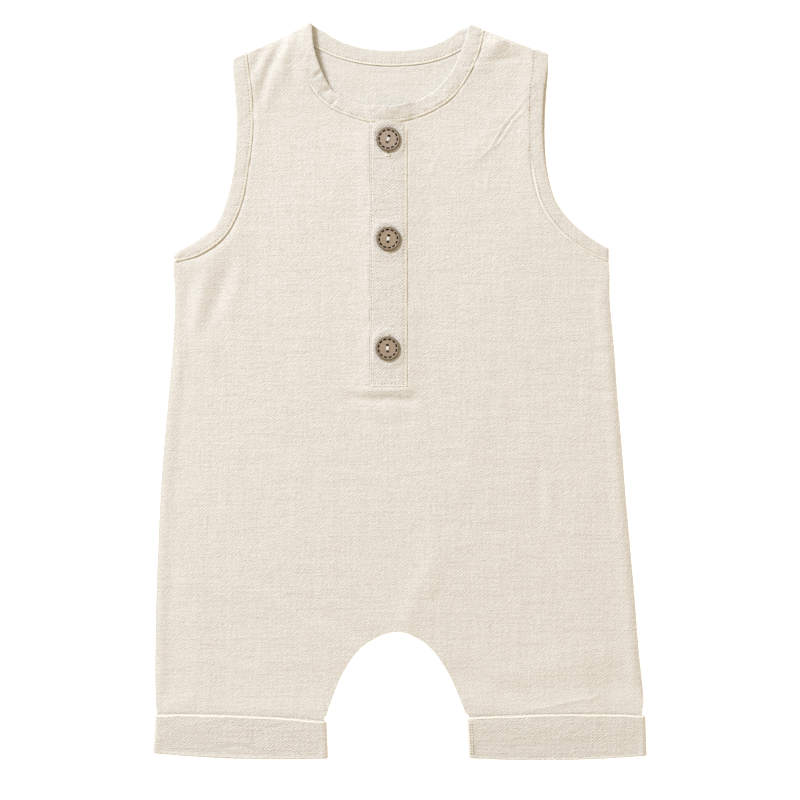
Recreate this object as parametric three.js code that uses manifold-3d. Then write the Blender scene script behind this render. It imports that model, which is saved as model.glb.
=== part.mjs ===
// Sleeveless baby romper with a half placket and turned-up cuffs, laid flat on its back.
// Millimetres, +Z up. The origin is on the resting surface, under the middle of the garment.
// +Y runs from the hems to the neck. Left and right are as seen from above, looking at the front.
import * as THREE from "three";
import { mergeVertices } from "three/addons/utils/BufferGeometryUtils.js";
import Module from "manifold-3d";

const wasm = await Module();
wasm.setup();
const { clamp, lerp, smoothstep } = THREE.MathUtils;

// Cloth and seams
const CLOTH = 1.0; // wall of a panel
const BOUND = 1.6; // wall of a bound edge, where the strip is folded on itself
const GAP = 0.3; // between pieces at a seam, and between layers

// Heights of the front's lower face above the resting surface
const BODY_LEVEL = CLOTH + 2 * GAP;
const LOFT = 0.8; // how far the front stands up in the middle
const ARM_LEVEL = BOUND + GAP + 0.1; // over the back half of an armhole strip
const SHOULDER_LEVEL = 3.0; // at the shoulder folds
const SIDE_CURL = 0.4; // how far the back's edge turns up at a side seam
const SEAM_RIDGE = 0.6; // the seam allowance under the front, along each side
const SEAM_RIDGE_IN = 4.5; // its middle, in from the side
const SEAM_RIDGE_HALF = 4.0;

// Outline of the body: its middle and its half width at each height
const BODY = [
  { y: -214, middle: 0.0, half: 149.0 },
  { y: -199, middle: 0.0, half: 150.4 },
  { y: -191, middle: 0.0, half: 151.4 },
  { y: -160, middle: -1.6, half: 150.0 },
  { y: -129, middle: -2.5, half: 148.5 },
  { y: -98, middle: -3.3, half: 146.6 },
  { y: -67, middle: -4.0, half: 144.5 },
  { y: -36, middle: -4.1, half: 142.2 },
  { y: -5, middle: -4.1, half: 139.5 },
  { y: 26, middle: -3.8, half: 137.0 },
  { y: 57, middle: -4.4, half: 134.9 },
  { y: 80, middle: -5.2, half: 135.1 },
  { y: 92, middle: -5.4, half: 132.0 },
  { y: 104, middle: -5.4, half: 118.0 },
  { y: 120, middle: -5.4, half: 106.0 },
  { y: 150, middle: -5.4, half: 98.0 },
  { y: 230, middle: -5.4, half: 99.0 },
];

// Shoulder folds, from the neck to the tip of the shoulder
const SHOULDERS = {
  left: { neck: [-55.3, 228.3], tip: [-104.2, 207.0] },
  right: { neck: [43.6, 228.5], tip: [92.9, 209.6] },
};
const NECK_STRIP = 10.4; // width of the strip round the neck, along a shoulder fold
const ARM_STRIP = 9.5; // the same for an armhole strip

// The neck strip in three stretches: its free edge, and its seam to the panels
const NECK_LEFT = [
  { edgeX: 2.5, edgeY: 178.1, seamX: 2.5, seamY: 167.9 },
  { edgeX: -7.9, edgeY: 177.0, seamX: -7.9, seamY: 167.0 },
  { edgeX: -17.4, edgeY: 177.3, seamX: -18.5, seamY: 167.3 },
  { edgeX: -27.0, edgeY: 179.3, seamX: -30.0, seamY: 170.5 },
  { edgeX: -35.7, edgeY: 182.9, seamX: -41.5, seamY: 175.5 },
  { edgeX: -42.3, edgeY: 188.0, seamX: -50.5, seamY: 183.0 },
  { edgeX: -48.8, edgeY: 200.0, seamX: -57.0, seamY: 193.5 },
  { edgeX: -53.2, edgeY: 214.0, seamX: -62.5, seamY: 210.0 },
];
const NECK_BACK = [
  { edgeX: -48.0, edgeY: 224.1, seamX: -56.0, seamY: 215.5 },
  { edgeX: -41.9, edgeY: 220.4, seamX: -45.5, seamY: 210.3 },
  { edgeX: -34.4, edgeY: 216.7, seamX: -36.0, seamY: 206.6 },
  { edgeX: -20.8, edgeY: 213.0, seamX: -22.0, seamY: 203.4 },
  { edgeX: -5.3, edgeY: 211.9, seamX: -5.3, seamY: 202.2 },
  { edgeX: 12.7, edgeY: 213.0, seamX: 13.5, seamY: 203.4 },
  { edgeX: 24.5, edgeY: 216.7, seamX: 27.7, seamY: 207.0 },
  { edgeX: 31.3, edgeY: 220.4, seamX: 37.1, seamY: 211.4 },
  { edgeX: 37.0, edgeY: 224.4, seamX: 45.0, seamY: 217.0 },
];
const NECK_RIGHT = [
  { edgeX: 40.3, edgeY: 216.9, seamX: 50.5, seamY: 214.5 },
  { edgeX: 36.4, edgeY: 207.4, seamX: 47.4, seamY: 205.0 },
  { edgeX: 32.4, edgeY: 199.5, seamX: 42.7, seamY: 195.6 },
  { edgeX: 27.6, edgeY: 193.1, seamX: 36.4, seamY: 186.1 },
  { edgeX: 22.1, edgeY: 187.2, seamX: 29.3, seamY: 179.3 },
  { edgeX: 14.2, edgeY: 182.1, seamX: 20.5, seamY: 174.0 },
  { edgeX: 7.9, edgeY: 179.7, seamX: 11.0, seamY: 170.0 },
  { edgeX: 0.0, edgeY: 177.8, seamX: 1.5, seamY: 167.6 },
  { edgeX: -7.9, edgeY: 177.0, seamX: -7.9, seamY: 167.0 },
  { edgeX: -17.4, edgeY: 177.3, seamX: -17.4, seamY: 167.0 },
];

// The armhole strips from the underarm up: free edge and seam of the back half.
// The front half's free edge is tucked in from the back's.
const ARMHOLES = {
  left: [
    { edgeX: -126.5, edgeY: 93.8, seamX: -123.5, seamY: 84.8, tuck: 0 },
    { edgeX: -114.5, edgeY: 103.0, seamX: -108.0, seamY: 96.4, tuck: 0 },
    { edgeX: -107.3, edgeY: 119.0, seamX: -98.2, seamY: 115.5, tuck: 0 },
    { edgeX: -102.9, edgeY: 140.0, seamX: -93.4, seamY: 140.0, tuck: 0 },
    { edgeX: -101.4, edgeY: 162.0, seamX: -90.9, seamY: 162.0, tuck: 0 },
    { edgeX: -102.0, edgeY: 183.0, seamX: -91.5, seamY: 184.0, tuck: 0 },
    { edgeX: -103.4, edgeY: 197.0, seamX: -93.5, seamY: 200.0, tuck: 0 },
  ],
  right: [
    { edgeX: 117.0, edgeY: 96.6, seamX: 113.0, seamY: 88.2, tuck: 0 },
    { edgeX: 105.0, edgeY: 107.0, seamX: 98.5, seamY: 100.0, tuck: 0 },
    { edgeX: 96.4, edgeY: 120.0, seamX: 87.3, seamY: 117.0, tuck: 0.3 },
    { edgeX: 91.5, edgeY: 139.0, seamX: 82.0, seamY: 140.0, tuck: 0.8 },
    { edgeX: 90.2, edgeY: 160.0, seamX: 80.3, seamY: 161.0, tuck: 1.5 },
    { edgeX: 91.0, edgeY: 182.0, seamX: 80.7, seamY: 184.0, tuck: 1.8 },
    { edgeX: 92.2, edgeY: 198.0, seamX: 82.5, seamY: 201.0, tuck: 1.0 },
  ],
};
// Where an armhole strip turns from the front to the back, at the top of a side seam
const UNDERARMS = {
  left: { edge: [-140.3, 86.6], seam: [-140.3, 80.4], out: [-1, 0] },
  right: { edge: [129.9, 89.6], seam: [129.9, 80.8], out: [1, 0] },
};

// The back's shoulder seams, which lie on the front side: from the armhole to the neck
const SHOULDER_SEAMS = {
  left: [
    [-120, 205],
    [-94, 204],
    [-57.5, 191.5],
    [-25, 188],
  ],
  right: [
    [110, 207],
    [82.5, 206.5],
    [48.0, 207.3],
    [10, 207.3],
  ],
};

// The arch between the legs, from the left cuff to the right one
const LEG_ARCH = [
  { x: -47.4, y: -216 },
  { x: -47.0, y: -204.4 },
  { x: -45.0, y: -200.0 },
  { x: -43.1, y: -194.4 },
  { x: -35.7, y: -175.8 },
  { x: -25.1, y: -160.3 },
  { x: -12.5, y: -152.0 },
  { x: -1.0, y: -149.2 },
  { x: 9.5, y: -152.2 },
  { x: 20.2, y: -160.3 },
  { x: 30.7, y: -175.8 },
  { x: 38.8, y: -194.4 },
  { x: 40.6, y: -199.0 },
  { x: 43.1, y: -202.2 },
  { x: 43.5, y: -216 },
];

// Turned-up cuffs: their sides at the top and the bottom, and both rims at left, middle and right
const CUFFS = [
  {
    name: "cuff_left",
    topX: [-151.9, -45.3],
    bottomX: [-153.5, -44.2],
    topY: [-200.4, -201.0, -204.6],
    bottomY: [-224.4, -227.7, -227.6],
  },
  {
    name: "cuff_right",
    topX: [41.2, 152.5],
    bottomX: [42.6, 153.5],
    topY: [-202.4, -200.3, -200.9],
    bottomY: [-227.4, -228.5, -225.9],
  },
];
const CUFF_TUCK = 3.0; // how far the leg runs in under the cuff's upper rim
const LEG_HOLLOW = GAP; // between the front and the back of the leg, inside the cuff
const CUFF_WALL = 2 * CLOTH + GAP; // outer layer, gap and inner layer
const CUFF_LEVEL = CUFF_WALL + LEG_HOLLOW; // front's lower face inside the cuff

// Placket: the upper strip laps over the under strip, which fills the slit in the front
const PLACKET = { left: -17.4, right: 4.7, bottom: 3.1 };
const SLIT = { left: -14.4, right: 2.0, bottom: 6.0 };
const PLACKET_TOP = 172; // above the neck seam, which trims both strips
const LAP_END = { from: 4, to: 11 }; // where the neck strip steps down off the placket

// Buttons, with the ends of the buttonhole under each, measured from its middle
const BUTTONS = [
  { name: "button_top", x: -7.0, y: 156.2, turn: -17, up: 6.5, down: 10.4 },
  { name: "button_middle", x: -6.9, y: 94.5, turn: -9, up: 8.0, down: 8.9 },
  { name: "button_bottom", x: -7.4, y: 26.7, turn: 2, up: 8.9, down: 8.0 },
];
const BUTTON = { radius: 7.5, thick: 2.6, rim: 0.8, dish: 0.35, dishRadius: 6.6 };
const BUTTON_HOLES = { spacing: 3.6, radius: 0.9 };
const DASHES = { count: 12, radius: 5.65, length: 1.8, width: 0.8, depth: 0.35 };
const BUTTONHOLE_WIDTH = 1.0;

// The largest folds: a soft ridge or trough along a line, with its height and half width
const FOLDS = [
  { name: "neck roll", x0: -57, y0: 212, x1: -55, y1: 197, high: 1.3, wide: 11 },
  { name: "shoulder fold 1", x0: -70, y0: 216, x1: -82, y1: 184, high: 0.9, wide: 5 },
  { name: "shoulder fold 2", x0: -80, y0: 212, x1: -90, y1: 192, high: 0.6, wide: 4 },
  { name: "shoulder fold 3", x0: 62, y0: 217, x1: 52, y1: 203, high: 0.8, wide: 5 },
  { name: "under placket puff", x0: -22, y0: 0, x1: 4, y1: 0.5, high: 0.7, wide: 4 },
  { name: "under placket trough", x0: -30, y0: -4.5, x1: 8, y1: -5.5, high: -0.6, wide: 3.5 },
  { name: "arch fold left", x0: -24, y0: -152, x1: -98, y1: -120, high: 0.6, wide: 9 },
  { name: "arch fold right", x0: 8, y0: -142, x1: 34, y1: -96, high: 0.6, wide: 9 },
  { name: "leg fold right", x0: 62, y0: -178, x1: 128, y1: -165, high: 0.6, wide: 8 },
  { name: "leg fold left", x0: -130, y0: -120, x1: -120, y1: -180, high: 0.5, wide: 8 },
  { name: "side fold left", x0: -126, y0: 62, x1: -118, y1: 20, high: 0.6, wide: 7 },
  { name: "chest fold right", x0: 48, y0: 150, x1: 80, y1: 186, high: 0.5, wide: 6 },
];

// Sampling
const ACROSS = [0, 0.11, 0.22, 0.33, 0.44, 0.55, 0.66, 0.76, 0.84, 0.9, 0.945, 0.975, 1];
const FRONT_ROWS = 46;
const BACK_ROWS = 24;
const STRIP_STEPS = 3; // stations between two rows of a strip's table
const STRIP_COLUMNS = [0, 0.5, 1];
const FOLD_TURNS = 6; // facets round a fold
const CUFF_STEPS = 10;
const CUTTER = { low: -5, high: 20 };
const FAR = 60; // how far a cutter reaches past the cloth

const vec = (x, y, z = 0) => new THREE.Vector3(x, y, z);

// A table's column at height y, on a smooth curve through its rows
function tableAt(rows, y, column) {
  const i = clamp(rows.findIndex((r) => r.y > y) - 1, 0, rows.length - 2);
  const k = y >= rows.at(-1).y ? rows.length - 2 : i;
  const [a, b] = [rows[k], rows[k + 1]];
  const slope = (p, q) => (q[column] - p[column]) / (q.y - p.y);
  const before = rows[Math.max(k - 1, 0)];
  const after = rows[Math.min(k + 2, rows.length - 1)];
  const t = clamp((y - a.y) / (b.y - a.y), 0, 1);
  const span = b.y - a.y;
  const slopeA = slope(before, b) * span;
  const slopeB = slope(a, after) * span;
  const rise = b[column] - a[column];
  return a[column] + t * slopeA + t * t * (3 * rise - 2 * slopeA - slopeB + t * (slopeA + slopeB - 2 * rise));
}

// How far a point lies in from the nearer side of the body
function inFromSide(x, y) {
  return tableAt(BODY, y, "half") - Math.abs(x - tableAt(BODY, y, "middle"));
}

// How far a point lies below the shoulder fold on its side
function belowShoulder(x, y) {
  const { neck, tip } = x < BODY.at(-1).middle ? SHOULDERS.left : SHOULDERS.right;
  const along = new THREE.Vector2(tip[0] - neck[0], tip[1] - neck[1]).normalize();
  return Math.abs(along.x) * (neck[1] - y) + Math.sign(along.x) * along.y * (x - neck[0]);
}

// Height that the folds add at a point
function foldHeight(x, y) {
  const point = new THREE.Vector2(x, y);
  return FOLDS.reduce((sum, { x0, y0, x1, y1, high, wide }) => {
    const start = new THREE.Vector2(x0, y0);
    const along = new THREE.Vector2(x1 - x0, y1 - y0);
    const share = clamp(point.clone().sub(start).dot(along) / along.lengthSq(), 0, 1);
    const away = point.distanceTo(start.addScaledVector(along, share));
    return sum + high * Math.exp(-((away / wide) ** 2));
  }, 0);
}

// The back's lower face: flat, turned up at the side seams, and up over the cuffs
function backLevel(x, y) {
  const overCuff = 1 - smoothstep(y, -198.5, -186);
  const curl = 1 - smoothstep(inFromSide(x, y), 0, 4);
  const beside = smoothstep(y, -190, -180) * (1 - smoothstep(y, 60, 74));
  return (CLOTH + GAP) * overCuff + SIDE_CURL * curl * beside;
}

// The front's lower face
function frontLevel(x, y) {
  const inside = inFromSide(x, y);
  const share = clamp(1 - inside / tableAt(BODY, y, "half"), 0, 1);
  const beside = smoothstep(y, -190, -175) * (1 - smoothstep(y, 60, 74));
  const rim = backLevel(x, y) + CLOTH + GAP;
  const lofted = smoothstep(y, -150, -60) * (1 - smoothstep(y, 110, 170));
  let z = BODY_LEVEL + LOFT * (1 - share * share) * lofted;
  z += SEAM_RIDGE * beside * Math.exp(-(((inside - SEAM_RIDGE_IN) / SEAM_RIDGE_HALF) ** 2));
  z = lerp(z, rim, beside * (1 - smoothstep(inside, 0, 3.5)));
  z = lerp(z, SHOULDER_LEVEL, 1 - smoothstep(belowShoulder(x, y), 6, 44));
  const nearArm = smoothstep(Math.abs(x - BODY.at(-1).middle), 72, 84) * smoothstep(y, 56, 74);
  z = lerp(z, Math.max(z, ARM_LEVEL), nearArm);
  const nearCuff = 1 - smoothstep(y, -198.5, -180);
  z += foldHeight(x, y) * smoothstep(inside, 0, 12) * (1 - nearCuff);
  return Math.max(lerp(z, CUFF_LEVEL, nearCuff), rim);
}

// A closed solid from vertices and triangles, with its faces turned outwards
function solidFrom(vertices, triangles) {
  const volume = triangles.reduce((sum, [a, b, c]) => {
    return sum + vertices[a].dot(vertices[b].clone().cross(vertices[c]));
  }, 0);
  const facing = volume > 0 ? triangles : triangles.map(([a, b, c]) => [a, c, b]);
  const mesh = new wasm.Mesh({
    numProp: 3,
    vertProperties: new Float32Array(vertices.flatMap((v) => v.toArray())),
    triVerts: new Uint32Array(facing.flat()),
  });
  return new wasm.Manifold(mesh);
}

// The same from a three.js geometry
function solidOf(geometry) {
  const bare = new THREE.BufferGeometry();
  bare.setAttribute("position", geometry.getAttribute("position"));
  bare.setIndex(geometry.index);
  const merged = mergeVertices(bare, 1e-4);
  const position = merged.getAttribute("position");
  const vertices = Array.from({ length: position.count }, (_, i) => vec(0, 0).fromBufferAttribute(position, i));
  const corner = merged.index.array;
  const triangles = Array.from({ length: corner.length / 3 }, (_, i) => [...corner.slice(3 * i, 3 * i + 3)]);
  return solidFrom(vertices, triangles);
}

// A sheet of cloth: a grid of places in plan, from a lower face up by its thickness
function sheet(places, lower, thick) {
  const rows = places.length;
  const columns = places[0].length;
  const flat = places.flat();
  const lift = (up) => flat.map(([x, y]) => vec(x, y, lower(x, y) + up));
  const under = flat.length;
  const at = (i, j) => i * columns + j;
  const triangles = [];
  const quad = (a, b, c, d) => triangles.push([a, b, c], [a, c, d]);
  for (let i = 0; i < rows - 1; i++) {
    for (let j = 0; j < columns - 1; j++) {
      const corners = [at(i, j), at(i, j + 1), at(i + 1, j + 1), at(i + 1, j)];
      quad(...corners);
      quad(...corners.reverse().map((k) => k + under));
    }
  }
  const wall = (a, b) => quad(b, a, a + under, b + under);
  for (let j = 0; j < columns - 1; j++) {
    wall(at(0, j), at(0, j + 1));
    wall(at(rows - 1, j + 1), at(rows - 1, j));
  }
  for (let i = 0; i < rows - 1; i++) {
    wall(at(i + 1, 0), at(i, 0));
    wall(at(i, columns - 1), at(i + 1, columns - 1));
  }
  return solidFrom([...lift(thick), ...lift(0)], triangles);
}

// A strip swept through closed sections of equal length, in a ring or with flat ends
function sweep(sections, ring) {
  const size = sections[0].length;
  const count = sections.length;
  const triangles = [];
  for (let i = 0; i < (ring ? count : count - 1); i++) {
    for (let j = 0; j < size; j++) {
      const [a, b] = [i * size + j, i * size + ((j + 1) % size)];
      const [c, d] = [a, b].map((k) => (k + size) % (count * size));
      triangles.push([a, b, d], [a, d, c]);
    }
  }
  if (!ring) {
    const last = (count - 1) * size;
    for (let j = 0; j < size / 2 - 1; j++) {
      const [a, b, c, d] = [j, j + 1, size - 2 - j, size - 1 - j];
      triangles.push([a, c, b], [a, d, c], [last + a, last + b, last + c], [last + a, last + c, last + d]);
    }
  }
  return solidFrom(sections.flat(), triangles);
}

// A prism through all the cloth, over an outline in plan
function prism(outline) {
  const shape = new THREE.Shape(outline.map(([x, y]) => new THREE.Vector2(x, y)));
  const geometry = new THREE.ExtrudeGeometry(shape, { depth: CUTTER.high - CUTTER.low, bevelEnabled: false });
  return solidOf(geometry.translate(0, 0, CUTTER.low));
}

// A line in plan moved sideways, to its left for a distance above 0
function moved(line, distance) {
  return line.map((p, i) => {
    const before = line[Math.max(i - 1, 0)];
    const after = line[Math.min(i + 1, line.length - 1)];
    const along = new THREE.Vector2(after[0] - before[0], after[1] - before[1]).normalize();
    return [p[0] - along.y * distance, p[1] + along.x * distance];
  });
}

// Unit directions of a shoulder fold: from the neck to the tip, and out of the garment
function shoulderFrame(side) {
  const { neck, tip } = SHOULDERS[side];
  const along = vec(tip[0] - neck[0], tip[1] - neck[1]).normalize();
  const out = vec(-along.y, along.x).multiplyScalar(Math.sign(along.x));
  return { neck: vec(...neck), tip: vec(...tip), along, out };
}

// A fold of the given wall, turned about a line in plan: faces at each facet, from the back's side up to the front's.
function turnOver(rim, out, level, wall) {
  const inner = (level - wall) / 2;
  const outer = inner + wall;
  return Array.from({ length: FOLD_TURNS + 1 }, (_, k) => {
    const angle = Math.PI * (k / FOLD_TURNS - 0.5);
    const ray = out.clone().multiplyScalar(Math.cos(angle)).setZ(Math.sin(angle));
    const middles = rim.map((p) => p.clone().addScaledVector(out, -outer).setZ(outer));
    return middles.map((m) => ({
      outside: m.clone().addScaledVector(ray, outer),
      inside: m.clone().addScaledVector(ray, inner),
    }));
  });
}

// A strip's cross-section as one closed loop, from its two faces
const closedSection = (faces) => [...faces.map((f) => f.outside), ...faces.map((f) => f.inside).reverse()];

// Stations of a strip through a table's rows: points across it, from the free edge to the seam
function stripStations(rows) {
  const edge = new THREE.SplineCurve(rows.map((r) => new THREE.Vector2(r.edgeX, r.edgeY)));
  const seam = new THREE.SplineCurve(rows.map((r) => new THREE.Vector2(r.seamX, r.seamY)));
  const steps = (rows.length - 1) * STRIP_STEPS;
  return Array.from({ length: steps + 1 }, (_, i) => {
    const [e, s] = [edge.getPoint(i / steps), seam.getPoint(i / steps)];
    return STRIP_COLUMNS.map((w) => [lerp(e.x, s.x, w), lerp(e.y, s.y, w)]);
  });
}

// Faces of a bound strip on the front, raised where it laps over another
const frontFaces = (station, raise = () => 0) =>
  station.map(([x, y]) => {
    const z = frontLevel(x, y) + raise(x, y);
    return { outside: vec(x, y, z + BOUND), inside: vec(x, y, z) };
  });

// Faces of a bound strip on the back, which lies on the resting surface
const backFaces = (station) =>
  station.map(([x, y]) => ({ outside: vec(x, y, 0), inside: vec(x, y, BOUND) }));

// A row of a strip's table on a shoulder fold, just where its turn begins
function foldRow(side, edgeAt, seamAt) {
  const { neck, along, out } = shoulderFrame(side);
  const radius = (SHOULDER_LEVEL - BOUND) / 2 + BOUND;
  const [e, s] = [edgeAt, seamAt].map((d) => neck.clone().addScaledVector(along, d).addScaledVector(out, -radius));
  return { edgeX: e.x, edgeY: e.y, seamX: s.x, seamY: s.y };
}

const shoulderLength = (side) => vec(...SHOULDERS[side].neck).distanceTo(vec(...SHOULDERS[side].tip));
const neckFold = (side) => foldRow(side, 0, NECK_STRIP);
const armFold = (side) => foldRow(side, shoulderLength(side), shoulderLength(side) - ARM_STRIP);

// The turn of a strip over a shoulder fold, between two distances along it
function shoulderTurn(side, edgeAt, seamAt) {
  const { neck, along, out } = shoulderFrame(side);
  const rim = STRIP_COLUMNS.map((w) => neck.clone().addScaledVector(along, lerp(edgeAt, seamAt, w)));
  return turnOver(rim, out, SHOULDER_LEVEL, BOUND);
}

// Neck strip, from under the placket up the left, round the back and down the right
const neckStations = {
  left: stripStations([...NECK_LEFT, neckFold("left")]),
  back: stripStations([neckFold("left"), ...NECK_BACK, neckFold("right")]),
  right: stripStations([neckFold("right"), ...NECK_RIGHT]),
};

function neckBand() {
  const { left, back, right } = neckStations;
  const lap = (x) => (BOUND + GAP) * (1 - smoothstep(x, LAP_END.from, LAP_END.to));
  const faces = [
    ...left.slice(0, -1).map((s) => frontFaces(s)),
    ...shoulderTurn("left", 0, NECK_STRIP).reverse(),
    ...back.slice(1, -1).map(backFaces),
    ...shoulderTurn("right", 0, NECK_STRIP),
    ...right.slice(1).map((s) => frontFaces(s, lap)),
  ];
  return sweep(faces.map(closedSection), false);
}

// Armhole strips: one ring each, folded flat at the shoulder and at the underarm
const underarmRadius = (ARM_LEVEL - BOUND) / 2 + BOUND;
const tucked = (row) => {
  const across = new THREE.Vector2(row.seamX - row.edgeX, row.seamY - row.edgeY).normalize();
  return { ...row, edgeX: row.edgeX + row.tuck * across.x, edgeY: row.edgeY + row.tuck * across.y };
};

function armStations(side, rows) {
  const { edge, seam, out } = UNDERARMS[side];
  const inward = -out[0] * underarmRadius;
  const start = { edgeX: edge[0] + inward, edgeY: edge[1], seamX: seam[0] + inward, seamY: seam[1] };
  return stripStations([start, ...rows, armFold(side)]);
}

function armholeBand(side) {
  const front = armStations(side, ARMHOLES[side].map(tucked));
  const back = armStations(side, ARMHOLES[side]);
  const { edge, seam, out } = UNDERARMS[side];
  const rim = STRIP_COLUMNS.map((w) => vec(lerp(edge[0], seam[0], w), lerp(edge[1], seam[1], w)));
  const length = shoulderLength(side);
  const faces = [
    ...turnOver(rim, vec(...out), ARM_LEVEL, BOUND),
    ...front.slice(1, -1).map((s) => frontFaces(s)),
    ...shoulderTurn(side, length, length - ARM_STRIP).reverse(),
    ...back.slice(1, -1).reverse().map(backFaces),
  ];
  return sweep(faces.map(closedSection), true);
}

// Lines in plan where the panels stop, a gap away from the strips sewn to them
const seamLine = (stations) => stations.map((s) => s.at(-1));
const beyond = (side, along) => {
  const { neck, along: fold, out } = shoulderFrame(side);
  const p = neck.clone().addScaledVector(fold, along).addScaledVector(out, FAR);
  return [p.x, p.y];
};

function armholeCut(side) {
  const sign = side === "left" ? -1 : 1;
  const line = seamLine(armStations(side, ARMHOLES[side]));
  const out = [line[0][0] + sign * FAR, line[0][1]];
  const far = beyond(side, shoulderLength(side) - ARM_STRIP);
  const edge = moved([out, ...line, far], sign * GAP);
  return prism([...edge, [edge[0][0], edge.at(-1)[1]]]);
}

function frontNeckCut() {
  const lapped = NECK_LEFT[2].seamX;
  const left = seamLine(neckStations.left).filter(([x]) => x < lapped + GAP);
  const right = seamLine(neckStations.right).filter(([x]) => x > lapped + GAP);
  const line = [beyond("right", NECK_STRIP), ...right, ...left, beyond("left", NECK_STRIP)];
  return prism(moved(line, GAP));
}

function backNeckCut() {
  const line = [beyond("left", NECK_STRIP), ...seamLine(neckStations.back), beyond("right", NECK_STRIP)];
  return prism(moved(line, -GAP));
}

function archCut() {
  const curve = new THREE.SplineCurve(LEG_ARCH.map(({ x, y }) => new THREE.Vector2(x, y)));
  return prism(curve.getPoints(LEG_ARCH.length * 3).map((p) => p.toArray()));
}

// A rim of a cuff at a share of its width, on a curve through three heights
const rimAt = ([left, middle, right], share) =>
  left + share * (4 * middle - 3 * left - right) + share * share * (2 * left + 2 * right - 4 * middle);

// What lies below the seam of a leg to its cuff
function hemCut(cuff) {
  const [from, to] = [cuff.topX[0] - FAR / 10, cuff.topX[1] + FAR / 10];
  const line = Array.from({ length: CUFF_STEPS + 1 }, (_, i) => {
    const x = lerp(from, to, i / CUFF_STEPS);
    const share = clamp((x - cuff.topX[0]) / (cuff.topX[1] - cuff.topX[0]), 0, 1);
    return [x, rimAt(cuff.topY, share) - CUFF_TUCK + GAP];
  });
  return prism([...line, [to, -LENGTH_BELOW], [from, -LENGTH_BELOW]]);
}
const LENGTH_BELOW = 260;

// Cuff: a wall turned up on itself, swept round the flattened leg
function cuffBand(cuff) {
  const middle = CUFF_LEVEL - LEG_HOLLOW / 2;
  const turn = CUFF_WALL / 2;
  const crease = GAP / 2;
  const arc = (radius, from, to) =>
    Array.from({ length: 5 }, (_, k) => {
      const angle = lerp(from, to, k / 4);
      return { rim: "bottom", up: turn - radius * Math.sin(angle), out: turn - radius * Math.cos(angle) };
    });
  const profile = [
    { rim: "top", up: -CUFF_TUCK, out: 0 },
    ...arc(turn, 0, Math.PI),
    { rim: "top", up: 0, out: CUFF_WALL },
    { rim: "top", up: 0, out: CLOTH + GAP },
    ...arc(crease, Math.PI, 0),
    { rim: "top", up: -CUFF_TUCK, out: CLOTH },
  ];
  const station = (share, angle) =>
    profile.map(({ rim, up, out }) => {
      const y = rimAt(rim === "top" ? cuff.topY : cuff.bottomY, share) + up;
      const down = clamp((cuff.topY[1] - y) / (cuff.topY[1] - cuff.bottomY[1]), 0, 1);
      const inset = CUFF_WALL + LEG_HOLLOW / 2;
      const left = lerp(cuff.topX[0], cuff.bottomX[0], down) + inset;
      const right = lerp(cuff.topX[1], cuff.bottomX[1], down) - inset;
      const reach = out + LEG_HOLLOW / 2;
      return vec(lerp(left, right, share) + reach * Math.cos(angle), y, middle + reach * Math.sin(angle));
    });
  const half = Math.PI / 2;
  const flat = Array.from({ length: CUFF_STEPS + 1 }, (_, i) => i / CUFF_STEPS);
  const turns = [1, 2, 3].map((k) => (k * Math.PI) / 4);
  const sections = [
    ...flat.map((share) => station(share, half)),
    ...turns.map((angle) => station(1, half - angle)),
    ...flat.map((share) => station(1 - share, -half)),
    ...turns.map((angle) => station(0, -half - angle)),
  ];
  return sweep(sections, true);
}

// Places of a panel's grid: rows up the body, closer at the cuffs, columns closer at the sides
function bodyGrid(rows) {
  const columns = [...ACROSS.slice(1).reverse().map((u) => -u), ...ACROSS];
  const [bottom, top] = [BODY[0].y, 232];
  return Array.from({ length: rows + 1 }, (_, i) => {
    const y = lerp(bottom, top, (i / rows) ** 1.05);
    return columns.map((u) => [tableAt(BODY, y, "middle") + u * tableAt(BODY, y, "half"), y]);
  });
}

// What of the shoulder lies on the neck's side of its seam, or beyond it
function shoulderSeamCut(side, keepFront) {
  const line = SHOULDER_SEAMS[side];
  const far = (keepFront ? 1 : -1) * FAR;
  const edge = line.map(([x, y]) => [x, y - (Math.sign(far) * GAP) / 2]);
  return prism([...edge, [line.at(-1)[0], line.at(-1)[1] + far], [line[0][0], line[0][1] + far]]);
}

function front() {
  const slit = prism([
    [SLIT.left, SLIT.bottom],
    [SLIT.right, SLIT.bottom],
    [SLIT.right, PLACKET_TOP + FAR],
    [SLIT.left, PLACKET_TOP + FAR],
  ]);
  const cuts = [
    frontNeckCut(),
    armholeCut("left"),
    armholeCut("right"),
    shoulderSeamCut("left", true),
    shoulderSeamCut("right", true),
    archCut(),
    slit,
    ...CUFFS.map(hemCut),
  ];
  return cuts.reduce((panel, cut) => panel.subtract(cut), sheet(bodyGrid(FRONT_ROWS), frontLevel, CLOTH));
}

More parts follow.
